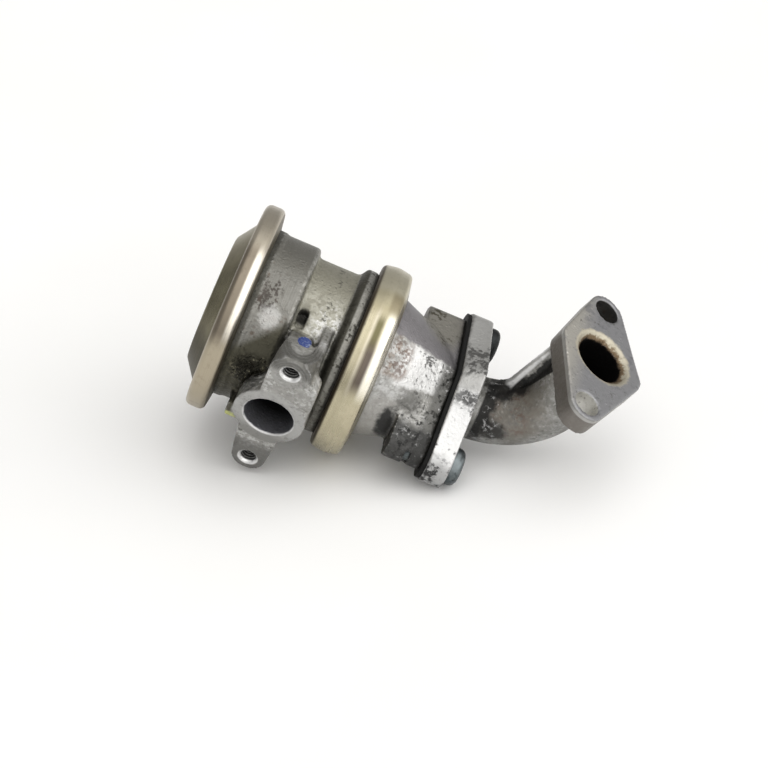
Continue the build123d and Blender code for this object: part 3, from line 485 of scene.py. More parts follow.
def plated_ring():
    """Crimped joint ring with painted light and shade: cream painted highlights on its shoulders, a painted
    dark reflection across its middle, tan below.
    """
    coat = plated_steel("plated_ring", (0.52, 0.47, 0.34, 1), (0.44, 0.40, 0.28, 1))
    here = coat.place
    # tones set by the angle round the axis are painted light and shade: lighter on the far side, painted
    # highlights on the side seen between the top and the port, a painted dark reflection across the middle
    coat.cover(coat.band(here["Round"], -150.0, 4.0, 6.0), (0.50, 0.47, 0.37, 1), 0.36, 0.8)
    seen = coat.band(here["Round"], 6.0, 60.0, 7.0)
    shoulder_highlight = coat.both(seen, coat.above(here["Along"], RING_SHOULDER, 0.8))
    coat.cover(coat.both(seen, coat.band(here["Along"], *RING_LEFT, 0.5)), (0.58, 0.53, 0.41, 1), 0.28)
    coat.cover(coat.both(coat.band(here["Round"], 12.0, 34.0, 5.0),
                         coat.band(here["Along"], 46.6, 49.0, 0.8)), (0.11, 0.10, 0.045, 1), 0.3, 0.9)
    coat.cover(coat.both(coat.band(here["Round"], 30.0, 58.0, 6.0),
                         coat.band(here["Along"], 46.6, 50.3, 0.9)), (0.10, 0.08, 0.07, 1), 0.32, 0.95)
    coat.cover(shoulder_highlight, (0.92, 0.88, 0.76, 1), 0.26)
    # painted shade along the top of the ring
    coat.cover(coat.band(here["Round"], -8.0, 9.0, 4.0), (0.34, 0.30, 0.19, 1), 0.34, 0.6)
    coat.cover(coat.both(coat.band(here["Round"], -8.0, 7.0, 4.0), coat.above(here["Along"], 48.6, 0.8)),
               (0.20, 0.165, 0.10, 1), 0.34, 0.6)
    # painted shade in the joints: at the ring's left edge against the collar and its inner lip against the
    # funnel
    coat.cover(coat.below(here["Along"], 43.2, 0.4), (0.06, 0.045, 0.03, 1), 0.5, 0.95)
    coat.cover(coat.both(coat.above(here["Along"], FUNNEL_START, 0.15),
                         coat.below(here["Radius"], 27.5, 0.6)), (0.12, 0.10, 0.07, 1), 0.5, 0.5)
    return finish_plating(coat)


def cast_metal(name, light, dark, grain=0.6, relief=0.10, roughness=0.42, grains=0.5, mottle=0.5):
    """Start of a cast aluminium finish. The caller adds what is special to the piece."""
    coat = Finish(name)
    tree, here = coat.tree, coat.place
    skin = use(tree, CAST_SKIN, {"Place": here["Place"], "Grain": grain})
    coat.skin = skin
    coat.colour = mixed(tree, ramp(tree, skin["Tone"], 0.32, 0.68), dark, light)
    coat.rough = ramp(tree, skin["Tone"], 0.3, 0.7, roughness + 0.12, roughness - 0.04)
    coat.cover(ramp(tree, skin["Mottle"], 0.42, 0.62, 1.0, 0.0), grey(0.30, 0.1), None, mottle, "MULTIPLY")
    coat.cover(skin["Grains"], grey(0.80, 0.03), roughness - 0.12, grains)
    coat.cover(skin["Pits"], grey(0.05, 0.1), 0.7, 0.45)
    coat.bump(skin["Height"], relief, 0.8)
    return coat


def finish_casting(coat, dirt_and_shade=0.7, wear_and_glint=0.5):
    """Rubbed edges with a painted glint, and dirt with painted shade in the corners, over all other colours.
    """
    tree, here = coat.tree, coat.place
    coat.cover(use(tree, EDGE_WEAR_AND_GLINT, {"Place": here["Place"]})["Mask"], grey(0.62), 0.35, wear_and_glint)
    coat.cover(use(tree, GRIME_AND_SHADE, {"Place": here["Place"], "Amount": dirt_and_shade})["Mask"], grey(0.025, 0.15),
               0.7, 0.9)
    return coat.done(0.85)


def cast_upper():
    """Main casting: machined barrel, sand-textured waist, collar and port block."""
    coat = cast_metal("cast_upper", grey(0.40, 0.05), grey(0.24, 0.07), grain=0.9, relief=0.26,
                      roughness=0.40)
    tree, here = coat.tree, coat.place
    along, turn, out = here["Along"], here["Round"], here["Radius"]
    rolled = use(tree, ROLLED_SKIN, {"Place": here["Place"], "Along": along, "Radius": out, "Round": turn})
    barrel = coat.both(coat.below(along, BARREL_END, 0.3), coat.band(out, *BARREL_R, 0.4))
    coat.cover(barrel, grey(0.20, 0.07), 0.42, 0.85)
    coat.cover(coat.both(barrel, ramp(tree, rolled["Rings"], 0.45, 0.7)), grey(0.13, 0.12), 0.5, 0.5)
    coat.cover(coat.both(barrel, coat.spots(2.2, 0.28)), (0.115, 0.085, 0.065, 1), 0.5, 0.7)
    coat.cover(coat.both(barrel, coat.patch((12, -12, 25.5), (3.5, 7, 5), 0.6, 3.0),
                         coat.spots(1.1, 0.5)), (0.05, 0.04, 0.035, 1), 0.5, 0.8)
    coat.cover(coat.both(barrel, coat.patch((15, -17, 22), (3, 4, 4), 0.5, 2.0)), grey(0.55, 0.02), 0.4, 0.6)
    # painted shade: the barrel darker on top and on the far side
    coat.cover(coat.both(barrel, coat.band(turn, -150.0, 4.0, 9.0)), grey(0.155, 0.10), 0.48, 0.85)
    # painted shade next to the cover's rim, where its lip overlaps the barrel
    coat.cover(coat.band(along, 5.0, 9.0, 0.5), grey(0.085, 0.12), 0.5, 0.9)
    coat.cover(coat.both(coat.band(along, 8.6, 9.3, 0.25), coat.spots(1.6, 0.45)), grey(0.3, 0.05), 0.4, 0.5)
    # painted shadow with a diagonal edge over the lower barrel beside the port block, and oil that has run
    # over it
    slope = maths(tree, "ADD", turn, maths(tree, "MULTIPLY", along, 2.1))
    oil_and_shadow = coat.both(ramp(tree, slope, 76.0, 86.0), coat.below(turn, 135.0, 10.0),
                    coat.below(along, 20.9, 0.5))
    coat.cover(oil_and_shadow, (0.060, 0.056, 0.038, 1), 0.36, 0.93)
    wet = coat.both(oil_and_shadow, coat.patch((16.5, -29, 6.5), (7, 7, 6), 0.3, 2.0))
    coat.cover(wet, grey(0.012, 0.3), 0.16, 0.95)
    coat.cover(coat.both(wet, coat.spots(1.1, 0.30)), (0.30, 0.28, 0.20, 1), 0.3, 0.7)
    coat.bump(coat.both(wet, coat.spots(1.6, 0.5)), 0.5, 0.8)
    # painted shade in the pocket between the barrel's step and the port block
    coat.cover(coat.both(coat.band(along, 20.0, 22.6, 0.4), coat.band(turn, 36.0, 75.0, 4.0),
                         coat.below(out, 32.0, 2.0)), grey(0.03, 0.2), 0.4, 0.9)
    # waist, between the step and the collar
    waist = coat.both(coat.band(along, *WAIST, 0.3), coat.below(out, WAIST_R, 0.5))
    coat.cover(waist, (0.40, 0.39, 0.33, 1), 0.52, 0.75)
    coat.cover(coat.both(waist, coat.spots(1.6, 0.42)), (0.21, 0.20, 0.16, 1), 0.55, 0.6)
    # painted shade: the waist darker on top and on the far side
    coat.cover(coat.both(waist, coat.band(turn, -150.0, 6.0, 12.0)), (0.27, 0.26, 0.21, 1), 0.55, 0.8)
    coat.cover(coat.both(waist, coat.patch((33, -14, 21), (5, 9, 7), 0.5, 3.0), coat.spots(1.1, 0.5)),
               grey(0.78), 0.36, 0.6)
    coat.cover(coat.both(coat.band(along, 30.0, 37.0, 0.8), coat.spots(1.2, 0.28)), grey(0.06, 0.15),
               0.6, 0.8)
    coat.cover(coat.both(coat.band(along, *COLLAR, 0.3), coat.band(turn, -140.0, 95.0, 20.0)),
               grey(0.26, 0.08), 0.42, 0.7)
    # painted shade in the groove before the collar
    coat.cover(coat.both(coat.band(along, *GROOVE, 0.35), coat.below(out, GROOVE_R, 0.3)),
               grey(0.05, 0.2), 0.6, 0.92)
    coat.cover(coat.both(coat.band(along, 36.4, 41.6, 0.3), coat.spots(1.2, 0.32)), grey(0.035, 0.2),
               0.6, 0.85)
    # painted shade in the joint under the ring
    coat.cover(coat.above(along, 42.0, 0.2), (0.055, 0.042, 0.028, 1), 0.5, 0.92)
    # painted shade on the lower side of the collar and groove
    coat.cover(coat.both(coat.band(along, 36.0, 42.5, 1.0), coat.band(turn, 66.0, 150.0, 10.0)),
               grey(0.13, 0.15), 0.5, 0.5)
    fin = coat.both(coat.band(along, *FIN, 0.5), coat.above(out, FIN_R, 1.0),
                    coat.band(turn, 28.0, 60.0, 5.0))
    coat.cover(fin, grey(0.30, 0.05), 0.45, 0.8)
    coat.cover(coat.both(fin, coat.spots(1.2, 0.30)), grey(0.10, 0.15), 0.55, 0.7)
    # port block
    block = coat.both(coat.band(along, *BLOCK, 0.5), coat.above(out, BLOCK_R, 1.5))
    coat.cover(block, grey(0.38, 0.03), 0.48, 0.6)
    coat.cover(coat.both(block, coat.spots(1.3, 0.40)), grey(0.70), 0.36, 0.5)
    coat.cover(coat.both(block, coat.spots(1.1, 0.22)), grey(0.07, 0.1), 0.6, 0.6)
    port, port_depth = coat.line((PORT_X, PORT_FACE_Y, 0.0))
    face = coat.both(coat.below(port_depth, 0.5, 0.3), coat.band(port, *PORT_FACE_R, 0.3))
    coat.cover(face, grey(0.40, 0.02), 0.46, 0.9)
    coat.cover(coat.both(face, coat.below(here["Up"], -7.0, 3.0)), grey(0.20, 0.05), 0.5, 0.75)
    coat.cover(coat.both(face, coat.spots(1.4, 0.32)), grey(0.16, 0.05), 0.5, 0.5)
    coat.cover(coat.both(coat.band(port, 8.0, 8.7, 0.2), coat.below(port_depth, 1.0, 0.3)), grey(0.66),
               0.35, 0.8)
    bore = coat.both(coat.below(port, PORT_BORE_R, 0.12), coat.band(port_depth, 0.6, 20.0, 0.3))
    coat.cover(bore, (0.27, 0.27, 0.30, 1), 0.4, 0.95)
    # painted shade deeper in the bore
    coat.cover(coat.both(bore, coat.above(port_depth, 7.0, 5.0)), grey(0.02), 0.5, 0.95)
    for mouth in SCREW_MOUTHS:
        away, depth = coat.line(mouth)
        coat.cover(coat.both(coat.band(away, 3.3, 6.0, 0.3), coat.below(depth, 4.5, 1.0)),
                   grey(0.33, 0.03), 0.45, 0.6)
        coat.cover(coat.both(coat.band(away, 2.3, 3.45, 0.15), coat.below(depth, 4.0, 1.0)), grey(0.80),
                   0.28, 0.9)
        # painted shade inside the tapped hole
        coat.cover(coat.both(coat.below(away, SCREW_WALL_R, 0.06), coat.band(depth, 1.2, 5.6, 0.3)),
                   grey(0.04), 0.45, 0.9)
    # the lower ear is darker all round its hole, and the waist window is painted black inside as shade
    ear_away, _ = coat.line(SCREW_MOUTHS[1])
    coat.cover(coat.both(block, coat.below(here["Up"], -15.0, 2.0), coat.above(ear_away, 3.6, 0.2)),
               grey(0.13, 0.05), 0.5, 0.75)
    coat.cover(coat.patch((25.1, -10.2, 20.0), (2.3, 2.6, 2.6), 0.1, 2.0), grey(0.02), 0.5, 0.93)
    # tool marks round the upper screw hole
    boss_away, _ = coat.line(SCREW_MOUTHS[0])
    arcs = maths(tree, "SINE", maths(tree, "MULTIPLY", boss_away, 2 * math.pi / ARC_PITCH))
    on_boss = coat.both(coat.band(boss_away, 4.0, 8.5, 0.4), coat.above(here["Up"], 24.0, 1.5),
                        coat.below(here["Side"], -24.0, 2.0))
    coat.bump(maths(tree, "MULTIPLY", arcs, on_boss), 0.12, 0.7)
    coat.cover(on_boss, grey(0.13, 0.05), 0.48, 0.75)
    coat.cover(coat.both(on_boss, ramp(tree, arcs, 0.2, 0.9, 1.0, 0.0)), grey(0.12, 0.1), 0.5, 0.4)
    # paint marks: a blue inspection dot and a smear of old chromate
    dot, _ = coat.line(DOT_PLACE, DOT_FACES)
    near = coat.patch(DOT_PLACE, 4.0, 0.0, 1.0, 0.1)
    edge = maths(tree, "ADD", dot, swing(tree, noise_at(tree, here["Place"], 1.0), 1.6))
    blue = coat.both(coat.below(edge, DOT_R, 0.15), near)
    coat.cover(blue, (0.035, 0.085, 0.40, 1), 0.4, 0.95)
    coat.cover(coat.both(blue, coat.spots(0.9, 0.22)), (0.55, 0.66, 0.88, 1), 0.4, 0.8)
    coat.cover(coat.patch((14.7, -33.6, -10.8), (2.2, 3.0, 1.8), 0.5, 1.2), (0.52, 0.54, 0.22, 1), 0.5, 0.9)
    coat.cover(coat.patch((13.9, -35.0, 4.0), (1.6, 2.0, 2.6), 0.4, 1.5), (0.42, 0.44, 0.30, 1), 0.5, 0.6)
    return finish_casting(coat, dirt_and_shade=0.85)


def cast_lower():
    """Funnel under the joint ring, with its two screw ears: painted light towards the port, painted shade on
    the far side, sooty below.
    """
    coat = cast_metal("cast_lower", grey(0.50, 0.01), grey(0.36, 0.04), grain=0.9, relief=0.22,
                      roughness=0.36, mottle=0.5)
    tree, here = coat.tree, coat.place
    along, turn, out = here["Along"], here["Round"], here["Radius"]
    # the side away from the port keeps a dull grey skin, darkened further as painted shade, up to a line that
    # runs down the funnel; towards the port the funnel is painted bright as light
    ragged = swing(tree, noise_at(tree, here["Place"], 2.2), 10.0)
    line_at = maths(tree, "ADD", turn, maths(tree, "ADD", ragged, swing(tree, along, 0.25, FUNNEL_START)))
    dull = coat.both(coat.below(line_at, 8.0, 1.2), coat.above(turn, -140.0, 25.0))
    coat.cover(dull, (0.215, 0.205, 0.215, 1), 0.5, 0.92)
    bright = coat.both(coat.band(line_at, 9.0, 50.0, 3.0), coat.above(along, 59.0, 2.5),
                       coat.below(along, 74.0, 2.0))
    coat.cover(bright, grey(0.80), 0.32, 0.7)
    coat.cover(coat.both(coat.band(along, 62.0, 75.0, 2.0), coat.above(line_at, 9.0, 2.0),
                         coat.spots(1.3, 0.30)), grey(0.03, 0.05), 0.5, 0.85)
    scribble = coat.both(coat.band(along, 54.0, 61.5, 1.2), coat.band(turn, 10.0, 42.0, 6.0))
    coat.cover(coat.both(scribble, coat.spots(3.0, 0.45)), (0.34, 0.26, 0.21, 1), 0.5, 0.6)
    coat.cover(coat.both(scribble, coat.spots(1.2, 0.52)), (0.12, 0.075, 0.055, 1), 0.5, 0.7)
    coat.cover(coat.both(coat.above(turn, 62.0, 8.0), coat.below(along, 63.0, 2.0)),
               (0.36, 0.35, 0.33, 1), 0.44, 0.75)
    neck = coat.both(coat.above(along, NECK_START, 1.2), coat.above(turn, 2.0, 8.0))
    coat.cover(neck, grey(0.11, 0.05), 0.5, 0.88)
    coat.cover(coat.both(coat.above(along, 70.5, 1.5), coat.above(turn, 8.0, 8.0),
                         coat.spots(1.3, 0.42)), grey(0.03, 0.05), 0.55, 0.9)
    coat.cover(coat.both(neck, coat.spots(1.0, 0.25)), grey(0.72), 0.36, 0.8)
    coat.cover(coat.patch((66, -15.5, 8), (4.5, 3.5, 5), 0.6, 2.0), grey(0.13, 0.05), 0.5, 0.7)
    ear = coat.both(coat.above(out, FUNNEL_EAR_R, 1.5), coat.above(along, FUNNEL_EAR_START, 0.6),
                    coat.above(turn, 50.0, 8.0))
    coat.cover(ear, grey(0.045, 0.02), 0.5, 0.93)
    coat.cover(coat.both(ear, coat.spots(1.2, 0.26)), grey(0.36), 0.34, 0.7)
    coat.cover(coat.both(ear, coat.spots(2.0, 0.30)), grey(0.012), 0.5, 0.9)
    # painted shade where the funnel meets the lower ear's left face
    coat.cover(coat.patch((61.5, -21.5, 1.0), (2.6, 4.0, 7.0), 0.35, 2.0), grey(0.030), 0.5, 0.95)
    upper_ear = coat.patch((68, 19, 11), (9, 11, 9), 0.3, 3.0)
    coat.cover(upper_ear, (0.25, 0.24, 0.205, 1), 0.5, 0.8)
    coat.cover(coat.both(upper_ear, coat.spots(2.0, 0.30)), (0.050, 0.044, 0.026, 1), 0.6, 0.85)
    return finish_casting(coat, dirt_and_shade=0.8)


def cast_elbow():
    """Elbow with the screwed flange, painted light on its side towards the port and painted shade on its far
    side, sooty at the bend, and the outlet flange.
    """
    coat = cast_metal("cast_elbow", grey(0.40, 0.02), grey(0.27, 0.04), grain=0.9, relief=0.18,
                      roughness=0.36, mottle=0.4)
    tree, here = coat.tree, coat.place
    along, turn, out = here["Along"], here["Round"], here["Radius"]
    flange = coat.band(along, *FLANGE, 0.6)
    # painted light on the flange's side towards the port, painted shade on its far side
    near = coat.both(flange, coat.above(turn, 22.0, 6.0), coat.above(out, FLANGE_R, 1.0))
    coat.cover(near, grey(0.68), 0.36, 0.9)
    coat.cover(coat.both(near, coat.below(turn, 42.0, 6.0), coat.spots(1.8, 0.50)), grey(0.05), 0.5, 0.9)
    coat.cover(coat.both(near, coat.spots(1.7, 0.24)), grey(0.02), 0.55, 0.9)
    far = coat.both(flange, coat.below(turn, 24.0, 4.0), coat.above(out, FLANGE_R, 1.0))
    coat.cover(far, grey(0.48, 0.02), 0.42, 0.8)
    coat.cover(coat.both(far, coat.band(turn, -42.0, 10.0, 8.0), coat.spots(1.7, 0.52)),
               grey(0.06, 0.05), 0.55, 0.85)
    end = coat.both(flange, coat.patch((82, -31, -4), (7, 6, 8.5), 0.2, 3.0))
    coat.cover(end, grey(0.30), 0.42, 0.7)
    coat.cover(coat.both(end, coat.spots(1.8, 0.42)), grey(0.02), 0.55, 0.95)
    tube = coat.both(coat.above(along, TUBE_START, 0.4), coat.below(here["Up"], TUBE_TOP, 2.0))
    coat.cover(coat.both(tube, coat.patch((98, -5, 14), (10, 9, 13), 0.4, 5.0)), (0.19, 0.175, 0.15, 1),
               0.42, 0.8)
    coat.cover(coat.both(tube, coat.patch((98, -5, 11), (6, 8, 9), 0.5, 5.0), coat.spots(2.4, 0.40)),
               (0.15, 0.095, 0.075, 1), 0.5, 0.6)
    coat.cover(coat.both(tube, coat.patch((106, -8, 10), (13, 8, 9), 0.4, 4.0), coat.spots(1.6, 0.34)),
               grey(0.16, 0.03), 0.5, 0.6)
    coat.cover(coat.both(tube, coat.patch((89, -6, 6), (4.2, 12, 13), 0.5, 3.0)), grey(0.015), 0.45, 0.93)
    coat.cover(coat.both(tube, coat.patch((95, -10, 4.5), (4, 4, 4), 0.5, 2.5)), grey(0.02), 0.45, 0.85)
    coat.cover(coat.both(tube, coat.patch((91, -5, 8), (5, 10, 10), 0.5, 3.0), coat.spots(1.6, 0.30)),
               grey(0.50), 0.36, 0.9)
    # soot and painted shadow in the corner between the tube and its rib, and a painted highlight on the rib's
    # edge over it
    rib_side = coat.both(tube, coat.band(here["Side"], 0.6, 8.0, 0.3))
    away, back = coat.line(tuple(BORE_CENTRE), INTO_BORE)
    near_tube = maths(tree, "ADD", away, swing(tree, noise_at(tree, here["Place"], 2.0), 3.0))
    corner = coat.both(coat.band(near_tube, 9.3, 12.3, 0.5), coat.band(back, 9.5, 30.0, 2.0), rib_side)
    coat.cover(corner, grey(0.012), 0.42, 0.93)
    coat.cover(coat.patch((97, 1.0, 17.5), (4.5, 3.5, 4.0), 0.35, 2.0), grey(0.012), 0.42, 0.93)
    coat.cover(coat.patch((93, 0.5, 12.5), (5.5, 4.5, 4.0), 0.35, 2.0), grey(0.012), 0.42, 0.93)
    coat.cover(coat.both(coat.band(away, 13.4, 19.0, 0.4), coat.band(back, 8.5, 30.0, 1.0), tube),
               grey(0.68), 0.34, 0.9)
    outlet_face(coat)
    return finish_casting(coat, dirt_and_shade=0.75)


def outlet_face(coat):
    """Outlet flange: dark sides, a bluish machined face, a cream ring and burnt deposits in the bore that go
    black deeper in as painted shade.
    """
    tree, here = coat.tree, coat.place
    away, depth = coat.line(tuple(BORE_CENTRE), INTO_BORE)
    mouth = coat.above(here["Up"], OUTLET_LOW, 2.0)
    plate = coat.both(coat.below(depth, OUTLET_PLATE, 0.4), coat.above(away, 11.5, 0.8), mouth)
    coat.cover(coat.both(plate, coat.above(depth, 0.7, 0.2)), (0.155, 0.14, 0.125, 1), 0.42, 0.85)
    coat.cover(coat.both(plate, coat.band(depth, 0.7, 1.7, 0.2), coat.above(away, 14.0, 0.5)),
               grey(0.42, 0.03), 0.38, 0.8)
    face = coat.both(coat.below(depth, 0.45, 0.25), mouth)
    offset = vector_maths(tree, "SUBTRACT", here["Place"], tuple(BORE_CENTRE)).outputs[0]
    inward = vector_maths(tree, "DOT_PRODUCT", offset, tuple(INWARD)).outputs["Value"]
    coat.cover(face, (0.25, 0.25, 0.26, 1), 0.42, 0.95)
    coat.cover(coat.both(face, ramp(tree, inward, 4.0, 13.0)), (0.44, 0.42, 0.375, 1), 0.4, 0.85)
    coat.cover(coat.both(face, coat.spots(2.6, 0.35)), (0.15, 0.15, 0.165, 1), 0.42, 0.55)
    coat.cover(coat.both(face, coat.spots(1.0, 0.16)), (0.07, 0.065, 0.06, 1), 0.5, 0.7)
    wobble = swing(tree, noise_at(tree, here["Place"], 3.0, 5.0, 0.7), 4.0)
    stained = maths(tree, "ADD", away, wobble)
    coat.cover(coat.both(mouth, coat.below(stained, 10.9, 0.5), coat.below(depth, 1.9, 0.3)),
               (0.50, 0.46, 0.36, 1), 0.45, 0.85)
    burnt = maths(tree, "ADD", depth, wobble)
    coat.cover(coat.both(mouth, coat.below(away, 10.2, 0.2), coat.above(burnt, 1.1, 0.4)),
               (0.13, 0.085, 0.045, 1), 0.55, 0.92)
    # deeper in, the bore is black: burnt deposits and painted shade
    coat.cover(coat.both(mouth, coat.below(away, OUTLET_BORE_R, 0.2), coat.above(burnt, 2.0, 0.4)),
               (0.006, 0.005, 0.005, 1), 0.6, 1.0)
    # inside the two holes: painted shade in the far hole, painted light in the nearer one, with rust spots
    for side, tone in ((1, 0.05), (-1, 0.60)):
        hole, hole_depth = coat.line(tuple(HOLE_MIDDLE + HOLE_LINE * HOLE_SPAN * side), INTO_BORE)
        inside = coat.both(coat.below(hole, HOLE_R, 0.12), coat.band(hole_depth, 0.4, OUTLET_PLATE, 0.2))
        coat.cover(inside, grey(tone, 0.05), 0.5, 0.95)
        coat.cover(coat.both(inside, coat.spots(1.6, 0.3)), (0.06, 0.045, 0.035, 1), 0.5, 0.6)


def plain_metal(name, light, dark, roughness, dirt_and_shade=0.5, stains_and_far_shade=0.0):
    """Turned, drawn or pressed metal. The last argument is how strongly it is stained; when it is set, the
    half away from the port is also painted dark as shade.
    """
    coat = Finish(name)
    tree, here = coat.tree, coat.place
    skin = use(tree, ROLLED_SKIN, {"Place": here["Place"], "Along": here["Along"],
                                   "Radius": here["Radius"], "Round": here["Round"]})
    coat.colour = mixed(tree, ramp(tree, skin["Stain"], 0.3, 0.7), dark, light)
    coat.rough = ramp(tree, skin["Rings"], 0.3, 0.7, roughness - 0.05, roughness + 0.08)
    if stains_and_far_shade:
        coat.cover(coat.spots(1.8, 0.4), tuple(0.3 * c for c in dark[:3]) + (1.0,), roughness + 0.15,
                   stains_and_far_shade)
        # the half away from the port is painted dark all over as shade
        coat.cover(coat.above(here["Side"], 0.0, 2.0), grey(0.012), 0.5, 0.85)
    # edges rubbed bright with a painted glint, then dirt and painted shade in the corners
    coat.cover(use(tree, EDGE_WEAR_AND_GLINT, {"Place": here["Place"]})["Mask"], grey(0.7), roughness - 0.08, 0.5)
    coat.cover(use(tree, GRIME_AND_SHADE, {"Place": here["Place"], "Amount": dirt_and_shade, "Reach": 0.0015})["Mask"],
               grey(0.04, 0.1), 0.7, 0.8)
    coat.bump(skin["Rings"], 0.015, 0.5)
    return coat.done(0.9)


def soft_black(name, tone, roughness):
    """Rubber or coated gasket."""
    coat = Finish(name)
    tree, here = coat.tree, coat.place
    bloom = noise_at(tree, here["Place"], 3.0, 5.0)
    coat.colour = mixed(tree, ramp(tree, bloom, 0.35, 0.7), grey(tone), grey(tone * 2.2, 0.05))
    coat.rough = ramp(tree, bloom, 0.3, 0.7, roughness, roughness + 0.15)
    coat.bump(noise_at(tree, here["Place"], 0.4, 2.0), 0.03, 0.5)
    coat.shader.inputs["Specular IOR Level"].default_value = 0.15
    return coat.done(0.0)


FINISHES = {
    "plated_cover": plated_cover(),
    "cast_upper": cast_upper(),
    "cast_lower": cast_lower(),
    "cast_elbow": cast_elbow(),
    "rubber_black": soft_black("rubber_black", 0.018, 0.55),
    "steel_plain": plain_metal("steel_plain", grey(0.50), grey(0.36, 0.03), 0.28),
    "spring_steel": plain_metal("spring_steel", grey(0.45), grey(0.30, 0.03), 0.32),
    "brass_bush": plain_metal("brass_bush", (0.62, 0.43, 0.19, 1), (0.42, 0.27, 0.12, 1), 0.35),
    "bolt_dark": plain_metal("bolt_dark", (0.22, 0.25, 0.26, 1), (0.035, 0.042, 0.045, 1), 0.34, 0.6, 0.7),
    "gasket_black": soft_black("gasket_black", 0.005, 0.6),
}
RING_FINISH = plated_ring()
RING_NODE = "crimp_ring"


def dress(thing, material):
    """Gives a piece one material all over."""
    thing.data.materials.clear()
    thing.data.materials.append(material)
    for face in thing.data.polygons:
        face.material_index = 0


slots = {}
for entry in frame["record"]["subparts"]:
    node = entry["node"]
    slots[node] = entry["material_slot"]
    dress(nodes[node], RING_FINISH if node == RING_NODE else FINISHES[slots[node]])


# ---------------------------------------------------------------- castings with their moulded edges
SMOOTHING = 0.5
SMOOTHING_ROUNDS = 3
PLUG_R = 2.75
PLUG_Y = (-28.0, -21.6)
PLUG_STEPS = 24
# sloped top of the arm over the upper screw hole: a place on it, and its fall along y
SHELF_Y = -27.7
SHELF_Z = 26.2
SHELF_SLOPE = -0.5205


def hole_end():
    """Metal behind the blind end of the upper screw hole, cut off along the sloped top of the arm."""
    x, _, z = SCREW_MOUTHS[0]
    points = []
    for y in PLUG_Y:
        shelf = SHELF_Z + SHELF_SLOPE * (y - SHELF_Y)
        for step in range(PLUG_STEPS):
            turn = 2 * math.pi * step / PLUG_STEPS
            points.append(at(x + PLUG_R * math.cos(turn), y, min(z + PLUG_R * math.sin(turn), shelf)))
    steps = range(PLUG_STEPS)
    faces = [(s, (s + 1) % PLUG_STEPS, (s + 1) % PLUG_STEPS + PLUG_STEPS, s + PLUG_STEPS) for s in steps]
    return points, faces + [tuple(reversed(steps)), tuple(s + PLUG_STEPS for s in steps)]


def fill(mesh, points, faces):
    """Adds a closed form to a mesh, with its faces turned outwards."""
    shape = bmesh.new()
    shape.from_mesh(mesh)
    made = [shape.verts.new(point) for point in points]
    added = [shape.faces.new([made[k] for k in face]) for face in faces]
    bmesh.ops.recalc_face_normals(shape, faces=added)
    shape.to_mesh(mesh)
    shape.free()


def soft_casting(node, voxel, filling=None):
    """Copy of a casting whose sharp edges are rounded as its mould rounds them."""
    piece = bpy.data.objects.new(node + "_cast", nodes[node].data.copy())
    bpy.context.collection.objects.link(piece)
    if filling:
        fill(piece.data, *filling)
    skin = piece.modifiers.new("skin", "REMESH")
    skin.mode = "VOXEL"
    skin.voxel_size = voxel * MM
    relax = piece.modifiers.new("relax", "SMOOTH")
    relax.factor = SMOOTHING
    relax.iterations = SMOOTHING_ROUNDS
    ready = piece.evaluated_get(bpy.context.evaluated_depsgraph_get())
    mesh = bpy.data.meshes.new_from_object(ready)
    piece.modifiers.clear()
    piece.data = mesh
    mesh.shade_smooth()
    dress(piece, FINISHES[slots[node]])
    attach(piece, "housing")
    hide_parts(node)


soft_casting("upper_housing", 0.58, hole_end())
soft_casting("lower_housing", 0.50)
soft_casting("elbow_pipe", 0.52)


# ---------------------------------------------------------------- threads of the two screw holes
THREAD_PITCH = 1.0
THREAD_R = 2.56
THREAD_CREST_R = 2.12
THREAD_FLANK = 0.42       # half width of the ridge at the wall
THREAD_START = 1.4        # under the mouth of the hole
THREAD_TURNS = 6
THREAD_STEPS = 40         # in a turn
THREAD_FINISH = plain_metal("tapped_thread", grey(0.22), grey(0.13, 0.05), 0.3, 0.9)


def screw_thread(name, mouth):
    """Helical ridge round the wall of a tapped hole that runs along +y from its mouth."""
    points = []
    count = THREAD_TURNS * THREAD_STEPS
    for step in range(count + 1):
        turn = 2 * math.pi * step / THREAD_STEPS
        depth = THREAD_START + THREAD_PITCH * step / THREAD_STEPS
        fade = min(1.0, step / THREAD_STEPS)
        crest = THREAD_R + fade * (THREAD_CREST_R - THREAD_R)
        for back, radius in ((-THREAD_FLANK, THREAD_R), (0.0, crest), (THREAD_FLANK, THREAD_R)):
            points.append(at(mouth[0] + radius * math.cos(turn), mouth[1] + depth + back * THREAD_PITCH,
                             mouth[2] + radius * math.sin(turn)))
    faces = [(3 * s + k, 3 * s + k + 1, 3 * s + k + 4, 3 * s + k + 3) for s in range(count) for k in (0, 1)]
    faces += [(3 * s + 2, 3 * s, 3 * s + 3, 3 * s + 5) for s in range(count)]
    faces += [(0, 2, 1), (3 * count, 3 * count + 1, 3 * count + 2)]
    mesh = bpy.data.meshes.new(name)
    mesh.from_pydata(points, [], faces)
    mesh.shade_smooth()
    thread = bpy.data.objects.new(name, mesh)
    bpy.context.collection.objects.link(thread)
    dress(thread, THREAD_FINISH)
    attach(thread, "housing")


screw_thread("upper_ear_thread", SCREW_MOUTHS[0])
screw_thread("lower_ear_thread", SCREW_MOUTHS[1])


# ---------------------------------------------------------------- camera, floor and light
def look_matrix(position, forward, roll):
    """Placing of a camera that looks along forward, rolled about it by some degrees."""
    right = forward.cross(Vector((0, 0, 1))).normalized()
    up = right.cross(forward)
    turn = Matrix.Rotation(math.radians(roll), 3, forward)
    axes = Matrix((turn @ right, turn @ up, -forward)).transposed().to_4x4()
    axes.translation = position
    return axes


